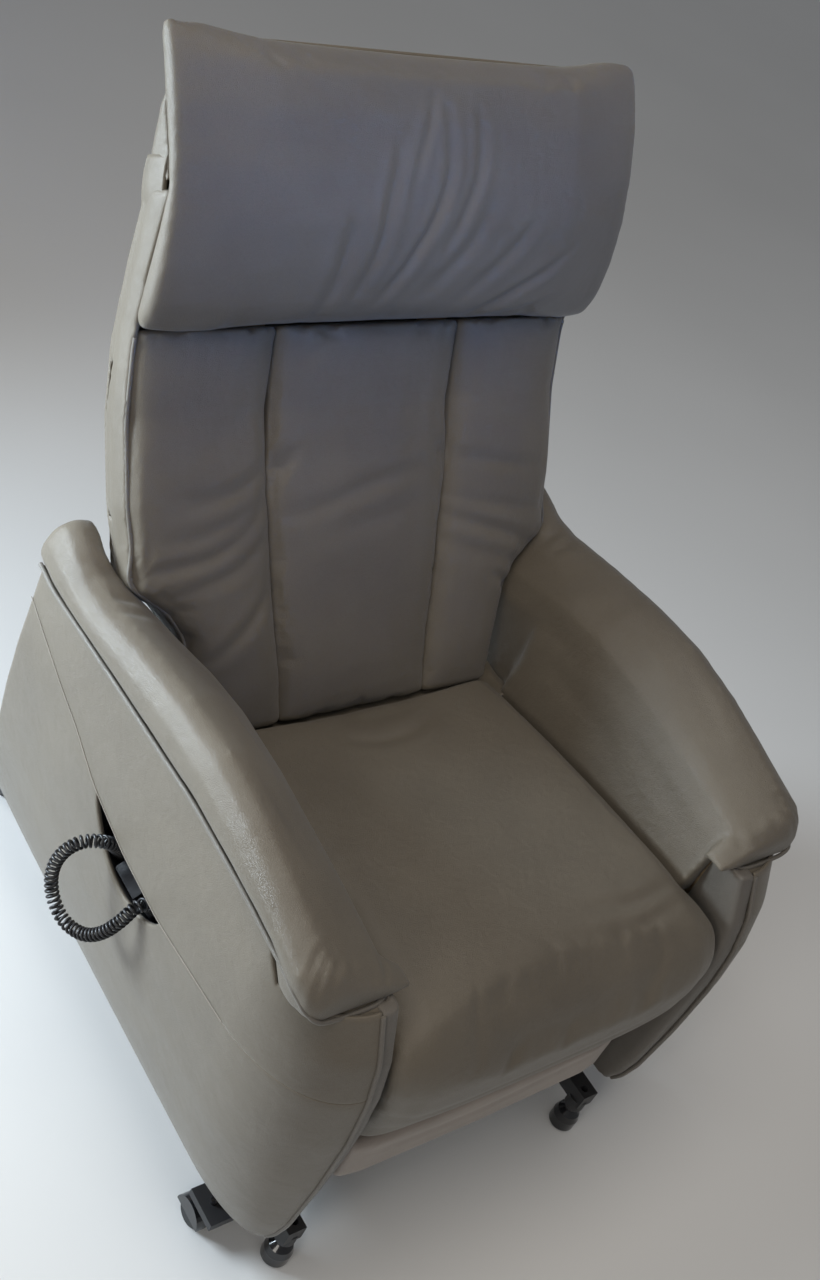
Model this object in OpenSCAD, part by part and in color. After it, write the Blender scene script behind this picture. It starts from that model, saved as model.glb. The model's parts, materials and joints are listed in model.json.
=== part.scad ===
// Lift recliner chair. Millimetres, +Z up, the sitter faces -Y.
// Origin: on the floor, in the chair's plane of symmetry, under the middle of its depth.

/* [Overall] */
// Half the width across the arm pads
arm_out = 378; // [372:1:384]
// Half the width of the seat cushion
seat_half = 234; // [228:1:234]
// Height of the seat's top at its front edge
seat_top = 478; // [474:1:480]
// Half the width of the back cushion at shoulder height
back_half = 326; // [318:1:328]
// Half the width of the head cushion
head_half = 328; // [318:1:330]

/* [Back] */
// Lean of the back from vertical, in degrees
back_lean = 29.7; // [29:0.1:30]
// Lean of the head cushion's face from vertical, in degrees
head_lean = 16.4; // [16:0.1:17]
// Length of the back panels, from the seat to the head cushion
panel_len = 484; // [478:1:486]
// Height of the head cushion's face
head_len = 311; // [300:1:316]

/* [Leg rest] */
// Radius of the rounded seat front over the knee hinge
knee_r = 63; // [60:1:64]
// Half the width of the leg-rest pad
leg_half = 230; // [220:1:232]
// Height of the leg-rest pad's lower edge above the floor
leg_low = 244; // [240:1:250]
// Height of the foot panel's lower edge above the floor
foot_low = 162; // [158:1:170]

/* [Floor frame] */
// Height of the rails' underside above the floor
rail_z = 58; // [56:1:60]
// Height of a rail
rail_h = 26; // [22:1:27]
// Radius of a castor wheel
wheel_r = 20; // [18:1:20]

/* [Fits] */
// Radius of the linkage pins
pin_r = 6; // [5:0.5:7]
// Radial clearance of a pin in its bore
run_gap = 0.08; // [0.04:0.01:0.1]
// Radial clearance of the open upper pivot of the lift links
open_gap = 2.2; // [2:0.1:3]

/* [Hand control] */
// Length of the hand control
handset_len = 120; // [110:1:122]
// Width of the hand control
handset_w = 48; // [44:1:50]
// Thickness of the hand control
handset_t = 18; // [16:1:18]
// Outside diameter of the curly cord
cord_d = 17; // [15:1:18]

/* [Hidden] */
$fn = 48;

// Way from the drawing's zero, above the linkage, to the middle of the chair's depth.
mid_shift = 75;

leather = [0.53, 0.50, 0.45];
leather_edge = [0.48, 0.45, 0.41];
steel_black = [0.10, 0.10, 0.11];
steel_grey = [0.45, 0.46, 0.48];
plastic_black = [0.06, 0.06, 0.07];
board_wood = [0.72, 0.58, 0.40];
rubber_black = [0.05, 0.05, 0.05];

// Pivots, as [y, z]
lift_pivot = [250, 120];
arm_head = [-220, 150];
link_pivot = [2, 139];
link_head = [-320, 160];
knee_pivot = [-440, 412];
back_pivot = [30, 400];
head_pivot = [305, 1022];
lift_motor_pivot = [-330, 104];
lift_lever_end = [80, 230];
back_motor_pivot = [-250, 290];
back_lever_end = [30, 320];
leg_motor_pivot = [-110, 262];
leg_lever_end = [-418, 300];
leg_roller_r = 7;

// Positions across the chair
plate_t = 6;
chassis_x = 236;
arm_x = 244;
link_x = 226;
link_stand_x = 218;
back_motor_x = 90;
leg_motor_x = -90;
gap = 1;

// Castors and feet, as [x, y]
castor_front = [312, -394];
castor_rear = [268, 306];
foot_front = [243, -462];
foot_rear = [243, 226];

// ---------------------------------------------------------------- helpers

// Solid between two grids of points that share their four borders' order.
module sheet(outer, inner) {
    m = len(outer);
    n = len(outer[0]);
    all_points = [for (row = outer) each row, for (row = inner) each row];
    function id(side, i, j) = side * m * n + i * n + j;
    outer_faces = [for (i = [0:m - 2], j = [0:n - 2])
        each [[id(0, i, j), id(0, i + 1, j), id(0, i + 1, j + 1)],
              [id(0, i, j), id(0, i + 1, j + 1), id(0, i, j + 1)]]];
    inner_faces = [for (i = [0:m - 2], j = [0:n - 2])
        each [[id(1, i, j), id(1, i + 1, j + 1), id(1, i + 1, j)],
              [id(1, i, j), id(1, i, j + 1), id(1, i + 1, j + 1)]]];
    end_faces = [for (j = [0:n - 2])
        each [[id(0, 0, j), id(0, 0, j + 1), id(1, 0, j + 1)],
              [id(0, 0, j), id(1, 0, j + 1), id(1, 0, j)],
              [id(0, m - 1, j), id(1, m - 1, j + 1), id(0, m - 1, j + 1)],
              [id(0, m - 1, j), id(1, m - 1, j), id(1, m - 1, j + 1)]]];
    edge_faces = [for (i = [0:m - 2])
        each [[id(0, i, 0), id(1, i, 0), id(1, i + 1, 0)],
              [id(0, i, 0), id(1, i + 1, 0), id(0, i + 1, 0)],
              [id(0, i, n - 1), id(1, i + 1, n - 1), id(1, i, n - 1)],
              [id(0, i, n - 1), id(0, i + 1, n - 1), id(1, i + 1, n - 1)]]];
    polyhedron(all_points, concat(outer_faces, inner_faces, end_faces, edge_faces), convexity = 8);
}

function total(v, i = 0) = i == len(v) - 1 ? v[i] : v[i] + total(v, i + 1);
function ring_normal(ring) = total([for (j = [0:len(ring) - 1]) cross(ring[j], ring[(j + 1) % len(ring)])]);
function reversed(v) = [for (i = [len(v) - 1:-1:0]) v[i]];

// Triangles that fill a flat ring with normal n, cut off ear by ear.
function on_left(a, b, p, n) = cross(b - a, p - a) * n >= 0;
function is_ear(ring, ids, k, n) = let (
    m = len(ids), i = ids[(k + m - 1) % m], j = ids[k], l = ids[(k + 1) % m],
    a = ring[i], b = ring[j], c = ring[l])
    cross(b - a, c - b) * n > 0
    && len([for (q = ids) if (q != i && q != j && q != l && on_left(a, b, ring[q], n)
                              && on_left(b, c, ring[q], n) && on_left(c, a, ring[q], n)) q]) == 0;
function first_ear(ring, ids, n, k = 0) =
    k >= len(ids) - 1 || is_ear(ring, ids, k, n) ? k : first_ear(ring, ids, n, k + 1);
function filled(ring, ids, n) = len(ids) == 3 ? [ids] : let (k = first_ear(ring, ids, n), m = len(ids))
    concat([[ids[(k + m - 1) % m], ids[k], ids[(k + 1) % m]]],
           filled(ring, [for (i = [0:m - 1]) if (i != k) ids[i]], n));

// Closed solid through rings of points; both end rings are flat.
module loft(rings) {
    m = len(rings);
    n = len(rings[0]);
    onward = rings[1][0] - rings[0][0];
    ordered = ring_normal(rings[0]) * onward < 0 ? reversed(rings) : rings;
    side_faces = [for (i = [0:m - 2], j = [0:n - 1])
        let (k = (j + 1) % n)
        each [[i * n + j, (i + 1) * n + j, (i + 1) * n + k],
              [i * n + j, (i + 1) * n + k, i * n + k]]];
    first_cap = filled(ordered[0], [for (j = [0:n - 1]) j], ring_normal(ordered[0]));
    last_cap = [for (f = filled(ordered[m - 1], [for (j = [n - 1:-1:0]) j], -ring_normal(ordered[m - 1])))
        [for (j = f) (m - 1) * n + j]];
    polyhedron([for (ring = ordered) each ring], concat(side_faces, first_cap, last_cap), convexity = 8);
}

// Flat plate from a [y, z] outline, between two x values.
module plate(x0, x1, outline) {
    translate([x0, 0, 0]) rotate([90, 0, 90]) linear_extrude(x1 - x0) polygon(outline);
}

// Bar with round ends between two [y, z] points, from x0 to x1; its flats lie a hair inside the rounds.
module bar(x0, x1, a, b, r) {
    d = b - a;
    translate([x0, 0, 0]) rotate([90, 0, 90]) linear_extrude(x1 - x0) {
        translate(a) circle(r);
        translate(b) circle(r);
        translate(a) rotate(atan2(d[1], d[0])) translate([0, -0.99 * r]) square([norm(d), 1.98 * r]);
    }
}

// Round rod along X at a [y, z] point.
module rod_x(p, r, x0, x1) {
    translate([x0, p[0], p[1]]) rotate([0, 90, 0]) cylinder(r = r, h = x1 - x0);
}

// Children placed with their +Z along the line from a to b in the YZ plane.
module along(a, b) {
    d = b - a;
    translate([0, a[0], a[1]]) rotate([-atan2(d[0], d[1]), 0, 0]) children();
}

// Children drawn on both sides of the chair.
module both_sides() {
    children();
    mirror([1, 0, 0]) children();
}

function mix(a, b, t) = a + (b - a) * t;

// Children moved so that the origin lies under the middle of the chair's depth.
module placed() translate([0, mid_shift, 0]) children();

// ---------------------------------------------------------------- floor frame

module square_rail_y(x, y0, y1) {
    translate([x, y0, rail_z]) cube([rail_h, y1 - y0, rail_h]);
}

module floor_frame() color(steel_black) {
    rail_x = 232;
    both_sides() {
        difference() {
            union() {
                square_rail_y(rail_x, -475, 335);
                // Outrigger of the front castor
                translate([rail_x, -420, 50]) cube([98, 52, rail_z - 50 + 4]);
                // Plate of the rear castor
                translate([rail_x, 284, 50]) cube([62, 51, rail_z - 50 + 4]);
                // Sockets of the feet
                translate([foot_front[0], foot_front[1], 46]) cylinder(r = 14, h = 20);
                translate([foot_rear[0], foot_rear[1], 46]) cylinder(r = 14, h = 20);
            }
            for (c = [castor_front, castor_rear])
                translate([c[0], c[1], 40]) cylinder(r = 5 + run_gap, h = 60);
            for (f = [foot_front, foot_rear])
                translate([f[0], f[1], 40]) cylinder(r = 5 + run_gap, h = 60);
        }
    }
    for (y = [-352, -12, 309])
        translate([-rail_x, y, rail_z]) cube([2 * rail_x, rail_h, rail_h]);
}

// Upright with a bore, standing on the rails.
module stand(x, p, half, r_hole) {
    difference() {
        union() {
            bar(x, x + plate_t, [p[0], rail_z + rail_h + 14], p, 14);
            plate(x, x + plate_t, [[p[0] - half, rail_z + rail_h], [p[0] + half, rail_z + rail_h],
                                   [p[0] + 14, p[1]], [p[0] - 14, p[1]]]);
        }
        rod_x(p, r_hole, x - 1, x + plate_t + 1);
        translate([x - 1, p[0] - 60, 0]) cube([plate_t + 2, 120, rail_z + rail_h]);
    }
}

module lift_brackets() color(steel_black) {
    both_sides() {
        stand(chassis_x, lift_pivot, 26, pin_r + run_gap);
        stand(link_stand_x, link_pivot, 12, pin_r + run_gap);
    }
    for (x = [-26, 20])
        translate([x, 0, 0]) difference() {
            plate(0, plate_t, [[-352, 84], [-326, 84], [-316, 96], [-318, 116], [-342, 116], [-352, 96]]);
            rod_x(lift_motor_pivot, pin_r + run_gap, -1, plate_t + 1);
        }
}

module base_pins() color(steel_grey) {
    both_sides() {
        rod_x(lift_pivot, pin_r, chassis_x - 2, arm_x + plate_t + 2);
        rod_x(link_pivot, pin_r, link_stand_x - 2, link_x + plate_t + 2);
    }
    rod_x(lift_motor_pivot, pin_r, -28, 28);
}

// Foot with a flat sole, rounded skirt and threaded stem.
module foot(p) {
    translate([p[0], p[1], 0]) {
        rotate_extrude() polygon([[0, 0], [17, 0], [19, 3], [19, 20], [16, 30], [9, 36], [9, 45.9], [0, 45.9]]);
        translate([0, 0, 45]) cylinder(r = 5, h = 30);
    }
}

module front_feet() color(plastic_black) both_sides() foot(foot_front);
module rear_feet() color(plastic_black) both_sides() foot(foot_rear);

castor_trail = 14;

// Castor housing: hood over the wheels, middle web, axle and stem.
module castor_housing(x, y) color(plastic_black) translate([x, y, 0]) {
    axle_y = castor_trail;
    difference() {
        union() {
            difference() {
                rod_x([axle_y, wheel_r], wheel_r + 4.5, -19, 19);
                rod_x([axle_y, wheel_r], wheel_r + 1.5, -18, -3);
                rod_x([axle_y, wheel_r], wheel_r + 1.5, 3, 18);
                translate([-20, -30, -10]) cube([40, 90, wheel_r + 10]);
            }
            rod_x([axle_y, wheel_r], 8, -3, 3);
            translate([0, 0, wheel_r + 4]) cylinder(r = 9, h = 45.5 - wheel_r);
        }
        rod_x([axle_y, wheel_r], wheel_r + 1.5, -18, -3);
        rod_x([axle_y, wheel_r], wheel_r + 1.5, 3, 18);
    }
    rod_x([axle_y, wheel_r], 3, -17.5, 17.5);
    translate([0, 0, 48]) cylinder(r = 5, h = 20);
}

module castor_wheels(x, y) color(rubber_black) translate([x, y + castor_trail, wheel_r]) {
    for (side = [-1, 1])
        translate([side * 10.5, 0, 0]) rotate([0, 90, 0]) difference() {
            rotate_extrude() polygon([[0, -6.5], [17, -6.5], [wheel_r, -4], [wheel_r, 4], [17, 6.5], [0, 6.5]]);
            cylinder(r = 3 + run_gap, h = 20, center = true);
        }
}

// ---------------------------------------------------------------- lift linkage

torsion_tube = [150, 126];

module lift_arms() color(steel_grey) {
    difference() {
        union() {
            both_sides() bar(arm_x, arm_x + plate_t, lift_pivot, arm_head, 13);
            rod_x(torsion_tube, 12, -arm_x - 1, arm_x + 1);
            for (x = [-22, 16])
                bar(x, x + plate_t, torsion_tube, lift_lever_end, 13);
        }
        both_sides() {
            rod_x(lift_pivot, pin_r + run_gap, arm_x - 1, arm_x + plate_t + 1);
            rod_x(arm_head, pin_r + run_gap, arm_x - 1, arm_x + plate_t + 1);
        }
    }
    rod_x(lift_lever_end, 5, -17, 17);
}

module lift_links() color(steel_grey) both_sides() difference() {
    bar(link_x, link_x + plate_t, link_pivot, link_head, 12);
    rod_x(link_pivot, pin_r + run_gap, link_x - 1, link_x + plate_t + 1);
    rod_x(link_head, pin_r + open_gap, link_x - 1, link_x + plate_t + 1);
}

// Actuator body: motor housing and outer tube from pivot a towards b.
module actuator_body(a, b, tube_len) {
    along(a, b) difference() {
        union() {
            translate([0, 0, -14]) cylinder(r = 13, h = 34);
            translate([-20, -20, 16]) cube([40, 40, 52]);
            translate([0, 0, 60]) cylinder(r = 15, h = tube_len - 60);
        }
        rotate([0, 90, 0]) cylinder(r = pin_r + run_gap, h = 60, center = true);
        translate([0, 0, 74]) cylinder(r = 9 + run_gap, h = tube_len);
    }
}

// Actuator rod; the slot in its end plate runs across the rod and lets the lever pin wander.
module actuator_rod(a, b, rod_from, across, slot_half) {
    reach = norm(b - a);
    along(a, b) difference() {
        union() {
            translate([0, 0, rod_from]) cylinder(r = 9, h = reach - slot_half - 3 - rod_from);
            translate([-5, -across - slot_half - 6, reach - slot_half - 6])
                cube([10, 2 * (across + slot_half + 6), 2 * (slot_half + 6)]);
        }
        for (side = [-1, 1])
            translate([0, side * across, reach]) rotate([0, 90, 0])
                cylinder(r = slot_half, h = 40, center = true);
        translate([-20, -across, reach - slot_half]) cube([40, 2 * across, 2 * slot_half]);
    }
}

module lift_motor() color(plastic_black) actuator_body(lift_motor_pivot, lift_lever_end, 320);
module lift_rod() color(steel_grey) actuator_rod(lift_motor_pivot, lift_lever_end, 150, 5.5, 7.6);

module back_motor() color(plastic_black)
    translate([back_motor_x, 0, 0]) actuator_body(back_motor_pivot, back_lever_end, 190);
module back_rod() color(steel_grey)
    translate([back_motor_x, 0, 0]) actuator_rod(back_motor_pivot, back_lever_end, 130, 1.6, 5.8);

module leg_motor() color(plastic_black)
    translate([leg_motor_x, 0, 0]) actuator_body(leg_motor_pivot, leg_lever_end, 262);
// Rod with a push plate, on which the roller of the leg board runs.
module leg_rod() color(steel_grey) translate([leg_motor_x, 0, 0]) along(leg_motor_pivot, leg_lever_end) {
    reach = norm(leg_lever_end - leg_motor_pivot);
    plate_from = reach - leg_roller_r - 10;
    translate([0, 0, 100]) cylinder(r = 8, h = plate_from - 98);
    translate([-12, -20, plate_from]) cube([24, 38, 6]);
}

// ---------------------------------------------------------------- chassis

front_tube = [-372, 266];
rear_tube = [68, 322];

module chassis() color(steel_black) {
    difference() {
        union() {
            both_sides() {
                plate(chassis_x, chassis_x + plate_t,
                      [[-345, 142], [-330, 134], [-205, 134], [-190, 150], [-60, 240], [50, 300],
                       [90, 312], [90, 338], [-396, 338], [-396, 248], [-356, 240]]);
                // Arm of the knee hinge
                plate(247, 252, [[-350, 250], [-340, 338], [-396, 338], [-400, 384], [-426, 424],
                                 [-454, 424], [-456, 400], [-430, 376], [-412, 320], [-392, 250]]);
                // Arm of the back hinge
                plate(arm_x, arm_x + plate_t, [[10, 300], [90, 300], [90, 338], [46, 400], [42, 416],
                                               [18, 416], [14, 400], [0, 338]]);
            }
            for (p = [front_tube, rear_tube]) rod_x(p, 12, -280.5, 280.5);
            // Pivot ears of the back and leg-rest motors
            for (x = [back_motor_x - 26, back_motor_x + 20])
                plate(x, x + plate_t, [[-386, 254], [-358, 252], [-262, 276], [-236, 278], [-236, 302],
                                       [-264, 304], [-360, 284], [-386, 278]]);
            for (x = [leg_motor_x - 26, leg_motor_x + 20])
                plate(x, x + plate_t, [[80, 310], [56, 310], [-96, 248], [-124, 248], [-124, 276],
                                       [-110, 282], [56, 334], [80, 334]]);
        }
        both_sides() {
            for (p = [arm_head, link_head]) rod_x(p, pin_r + run_gap, chassis_x - 1, chassis_x + plate_t + 1);
            rod_x(knee_pivot, pin_r + run_gap, 246, 253);
            rod_x(back_pivot, pin_r + run_gap, arm_x - 1, arm_x + plate_t + 1);
        }
        rod_x(back_motor_pivot, pin_r + run_gap, back_motor_x - 30, back_motor_x + 30);
        rod_x(leg_motor_pivot, pin_r + run_gap, leg_motor_x - 30, leg_motor_x + 30);
    }
}

module chassis_pins() color(steel_grey) {
    both_sides() {
        rod_x(arm_head, pin_r, chassis_x - 2, arm_x + plate_t + 2);
        rod_x(link_head, pin_r, link_x - 2, chassis_x + plate_t + 1);
        rod_x(knee_pivot, pin_r, 238, 254);
        rod_x(back_pivot, pin_r, 235.5, arm_x + plate_t + 2);
    }
    rod_x(back_motor_pivot, pin_r, back_motor_x - 28, back_motor_x + 28);
    rod_x(leg_motor_pivot, pin_r, leg_motor_x - 28, leg_motor_x + 28);
}

seat_deck_z = 342;

module seat_frame() color(board_wood) difference() {
    translate([-232, -420, seat_deck_z]) cube([464, 406, 18]);
    translate([-204, -404, seat_deck_z - 1]) cube([408, 366, 20]);
    // Way for the leg-rest rod
    translate([leg_motor_x - 22, -440, seat_deck_z - 1]) cube([44, 50, 16]);
}

// Zigzag spring wires between the seat frame's front and rear rails.
module seat_springs() color(steel_grey) {
    wire_r = 1.8;
    for (x = [-160, -96, -32, 32, 96, 160]) {
        path = [for (i = [0:24]) [x + 16 * sin(i * 90), mix(-403.5, -38.5, i / 24), seat_deck_z + 9]];
        loft([for (p = path) [for (a = [0:60:300]) [p[0] + wire_r * cos(a), p[1], p[2] + wire_r * sin(a)]]]);
    }
}

// ---------------------------------------------------------------- seat

// Top of the seat at a y position, in the middle of its width.
function seat_z(y) = lookup(y, [[-440, seat_top - 3], [-403, seat_top + 6], [-340, seat_top + 5],
                                [-260, seat_top - 1], [-150, seat_top - 15],
                                [-60, seat_top - 30], [0, seat_top - 42]]);
// Drop of a cushion's face towards its side edge.
function side_drop(x, half) = let (t = abs(x) / half) 10 * pow(t, 4) + 12 * pow(t, 24);

module seat_cushion() color(leather) {
    floor_z = seat_deck_z + 20;
    xs = [for (t = [-1, -0.985, -0.94, -0.8, -0.5, 0, 0.5, 0.8, 0.94, 0.985, 1]) t * seat_half];
    ys = [-438.5, -420, -390, -340, -260, -150, -60, -20, -4];
    loft([for (x = xs) [
        [x, 0, floor_z + 8], [x, -6, floor_z], [x, -410, floor_z], [x, -418, floor_z + 8],
        [x, -418, 404], [x, -438.5, 410],
        for (y = ys) [x, y, seat_z(y) + 6 - side_drop(x, seat_half)],
        [x, 0, seat_z(0) - 6 - side_drop(x, seat_half)]]]);
}

module knee_bend_pad() color(leather) {
    xs = [for (t = [-1, -0.985, -0.94, -0.8, -0.5, 0, 0.5, 0.8, 0.94, 0.985, 1]) t * seat_half];
    rise = seat_top - 3 + 6 - knee_pivot[1] - knee_r;
    loft([for (x = xs) let (drop = side_drop(x, seat_half)) [
        [x, -439.5, 401], [x, knee_pivot[0] - knee_r + drop, 401],
        for (a = [0:15:90])
            let (r = knee_r + rise * sin(a) - drop)
            [x, knee_pivot[0] - r * cos(a) + (a == 90 ? 0.5 : 0), knee_pivot[1] + r * sin(a)]]]);
}

// ---------------------------------------------------------------- arms

// Curves of the arm pad, all against y: outer edge, piping, crest, inner shoulder, lower inner edge.
function pad_out(y) = arm_out + lookup(y, [[-434, -17], [-424, -7], [-404, 0], [170, 0], [224, -6]]);
function pad_piping(y) = lookup(y, [[-434, 536], [-424, 546], [-404, 562], [-300, 575], [-180, 582],
                                    [0, 573], [140, 564], [224, 560]]);
function pad_crest(y) = lookup(y, [[-434, 566], [-426, 580], [-414, 589], [-383, 599], [-316, 618], [-255, 633],
                                   [-175, 644], [-90, 640], [0, 628], [90, 612], [135, 614], [165, 630],
                                   [190, 643], [210, 640], [224, 622]]);
// Heights of the pad's inner slope, from its top edge down; the rear is scooped for the back.
function slope_1(y) = lookup(y, [[-434, 560], [-414, 582], [-383, 592], [-316, 610], [-175, 635], [-90, 632],
                                 [-20, 622], [45, 611], [90, 604], [130, 604], [150, 600], [180, 580],
                                 [195, 562], [210, 545], [224, 530]]);
function slope_2(y) = lookup(y, [[-434, 557], [-414, 574], [-383, 585], [-316, 602], [-175, 626], [-90, 624],
                                 [-20, 612], [45, 600], [90, 592], [110, 590], [130, 583], [150, 570],
                                 [180, 540], [195, 525], [224, 512]]);
function slope_3(y) = lookup(y, [[-434, 552], [-414, 566], [-383, 575], [-316, 590], [-175, 607], [-90, 608],
                                 [-20, 598], [45, 582], [110, 568], [130, 560], [150, 546], [180, 523],
                                 [195, 512], [224, 505]]);
function slope_4(y) = lookup(y, [[-434, 548], [-414, 558], [-383, 565], [-316, 577], [-175, 594], [-90, 596],
                                 [-20, 586], [45, 568], [110, 552], [130, 540], [150, 527], [180, 506],
                                 [224, 500]]);
function pad_low(y) = y < -403 ? 533 : lookup(y, [[-400, 452], [-200, 430], [0, 404], [224, 404]]);
function pad_in(y) = lookup(y, [[-20, 238], [-4, 268], [224, 270]]);
function pad_under(y) = y < -403 ? 533 : pad_piping(y) - lookup(y, [[90, 14], [150, 74], [224, 72]]);
function pad_edge(y) = lookup(y, [[-383, 533], [-352, pad_piping(-352)], [-300, 575], [-180, 582], [0, 573],
                                  [140, 564], [224, 560]]);
panel_room = 25;

function pad_ring(y) = let (
    o = pad_out(y), zo = pad_piping(y), edge = pad_edge(y),
    zc = pad_crest(y), low = pad_low(y), inn = pad_in(y),
    under = pad_under(y), wall = inn > 260 ? 7 : 0) [
    [o - 3, y, edge], [o + 3, y, mix(zo, zc, 0.25)], [o + 1, y, mix(zo, zc, 0.6)], [o - 9, y, zc - 7],
    [o - 26, y, zc], [o - 44, y, zc - 4], [o - 56, y, slope_1(y)], [o - 72, y, slope_2(y)],
    [o - 92, y, slope_3(y)], [274, y, slope_4(y)], [263, y, mix(slope_4(y), low, 0.2)],
    [mix(262, inn, 0.5), y, mix(slope_4(y), low, 0.6)], [inn, y, low + 2],
    [268 + wall, y, low], [271 + wall, y, mix(low, under, 0.8)],
    [298, y, under], [o - panel_room, y, under], [o - panel_room, y, edge - 1]];

module arm_pad() {
    ys = [-434, -424, -414, -403.5, -400, -383, -352, -316, -255, -175, -90, -20, -4,
          45, 90, 110, 130, 150, 165, 180,
          195, 210, 224];
    loft([for (y = ys) pad_ring(y)]);
}

module arm_pad_left() color(leather) mirror([1, 0, 0]) arm_pad();
module arm_pad_right() color(leather) arm_pad();

board_x = 281;

module arm_frame() {
    difference() {
        translate([board_x, -400, 96]) cube([10, 604, 424]);
        for (p = [front_tube, rear_tube]) rod_x(p, 8, board_x - 1, board_x + 11);
        translate([board_x - 1, 84, 440]) cube([12, 121, 81]);
    }
    // Top, front, rear and bottom rails
    translate([board_x + 9, -396, 500]) cube([45, 480, 20]);
    translate([board_x + 9, -434, 130]) cube([16, 40, 390]);
    translate([board_x + 9, 176, 130]) cube([28, 28, 310]);
    translate([board_x + 9, -380, 100]) cube([14, 570, 24]);
}

module arm_frame_left() color(board_wood) difference() {
    mirror([1, 0, 0]) arm_frame();
    // Window behind the pocket's floor
    translate([-board_x - 13, -204, 262]) cube([16, 176, 44]);
}
module arm_frame_right() color(board_wood) arm_frame();

// Side panels: a padded sheet that runs from the rear edge round the front corner.
function panel_x(z) = lookup(z, [[84, 322], [110, 337], [150, 352], [200, 364], [280, 378], [360, 385],
                                 [430, 387], [500, 384], [580, 377]]);
function panel_front(z) = lookup(z, [[84, -461], [110, -474], [150, -483], [250, -491], [350, -494],
                                     [420, -490], [480, -478], [520, -458], [545, -446]]);
function panel_rear(z) = lookup(z, [[84, 262], [110, 254], [250, 232], [400, 218], [500, 214], [580, 217]]);
function panel_top(y) = y < -376 ? 530 : pad_edge(y) - 3;
function panel_bottom(y) = lookup(y, [[-490, 86], [-100, 88], [100, 100], [262, 122]]);
function seam_z(y) = lookup(y, [[-492, 430], [-404, 427], [-296, 417], [-200, 408], [-110, 414], [-24, 432],
                                [48, 461], [95, 473], [217, 512]]);
corner_y = -350;
border_x = 288;
side_share = 0.7;

// Place along the panel: s from 0 at the rear edge to 1 at the front piping, depth d inwards.
function panel_point(s, z, d) = s <= side_share
    ? [panel_x(z) - 6 * pow(1 - s / side_share, 3) - d, mix(panel_rear(z), corner_y, s / side_share), z]
    : let (a = 90 * (s - side_share) / (1 - side_share), run = corner_y - panel_front(z))
      [border_x + (panel_x(z) - border_x) * cos(a) - d * cos(a), corner_y - (run - d) * sin(a), z];

slit_from = -203;
slit_to = -29;
slit_depth = 52;
slit_wall = 6;
panel_wall = 20;
function slit_open(y) = y <= slit_from || y >= slit_to ? 0
    : pow(sin(180 * (y - slit_from) / (slit_to - slit_from)), 0.6);

panel_ss = [0, 0.04, 0.12, 0.24, 0.34, 0.38, 0.41, 0.44, 0.47, 0.5, 0.53, 0.56, 0.585, 0.64, side_share,
            0.76, 0.82, 0.88, 0.94, 1];

// y of the panel's middle line at s, used to place the seam and the edges.
function panel_y(s, z) = panel_point(s, z, 0)[1];

function upper_z(s, t) = let (y = panel_y(s, 440)) mix(seam_z(y) + gap / 2, panel_top(panel_y(s, 545)), t);
function lower_z(s, t, slit) = let (y = panel_y(s, 400))
    mix(panel_bottom(y), seam_z(y) - gap / 2 - slit * slit_depth * slit_open(y), t);
function lower_wall(s, t, slit) = let (y = panel_y(s, 400))
    panel_wall - slit * (panel_wall - slit_wall) * (slit_open(y) > 0 ? 1 : 0) * (t > 0.6 ? 1 : 0);
// Thinner edges give the panel its cushion shape.
function edge_thin(t) = 4 * pow(abs(2 * t - 1), 8);

module side_upper() {
    ts = [0, 0.15, 0.5, 0.85, 1];
    sheet([for (s = panel_ss) [for (t = ts) panel_point(s, upper_z(s, t), 0)]],
          [for (s = panel_ss) [for (t = ts) panel_point(s, upper_z(s, t), panel_wall)]]);
}

module side_lower(slit) {
    ts = [0, 0.06, 0.2, 0.4, 0.6, 0.75, 0.9, 1];
    sheet([for (s = panel_ss) [for (t = ts) panel_point(s, lower_z(s, t, slit), 0)]],
          [for (s = panel_ss) [for (t = ts) panel_point(s, lower_z(s, t, slit), lower_wall(s, t, slit))]]);
}

module side_upper_left() color(leather) mirror([1, 0, 0]) side_upper();
module side_upper_right() color(leather) side_upper();
module side_lower_left() color(leather) mirror([1, 0, 0]) side_lower(1);
module side_lower_right() color(leather) side_lower(0);

// Band between the panel's front piping and the arm's inner face.
module front_border() {
    zs = [90, 120, 160, 220, 290, 360, 420, 470, 505, 529];
    loft([for (z = zs) let (f = panel_front(z), w = lookup(z, [[90, 12], [160, 20], [300, 25.5], [529, 25.5]]))
        [[border_x - 0.6, f + 19, z], [border_x - 0.6, f + 2, z], [border_x - w * 0.5, f + 1, z],
         [border_x - w + 3, f + 4, z], [border_x - w, f + 12, z], [border_x - w, -405, z],
         [border_x - w + 8, -405, z], [border_x - w + 8, f + 19, z]]]);
}

module front_border_left() color(leather_edge) mirror([1, 0, 0]) front_border();
module front_border_right() color(leather_edge) front_border();

// ---------------------------------------------------------------- hand control and pocket

slit_mid = [-384, -116, 390];
pocket_lean = 38;
pocket_half_y = 80;
pocket_half_x = 11;
pocket_floor = -146;
pocket_mouth = -36;
liner_wall = 1.5;

// Children placed in the pocket: +Z runs up and out through the slit.
module in_pocket() translate(slit_mid) rotate([0, -pocket_lean, 0]) children();

module pocket_liner() color(rubber_black) in_pocket() difference() {
    translate([-pocket_half_x - liner_wall, -pocket_half_y - liner_wall, pocket_floor - liner_wall])
        cube([2 * (pocket_half_x + liner_wall), 2 * (pocket_half_y + liner_wall),
              pocket_mouth - pocket_floor + liner_wall]);
    translate([-pocket_half_x, -pocket_half_y, pocket_floor])
        cube([2 * pocket_half_x, 2 * pocket_half_y, pocket_mouth - pocket_floor + 1]);
}

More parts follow.
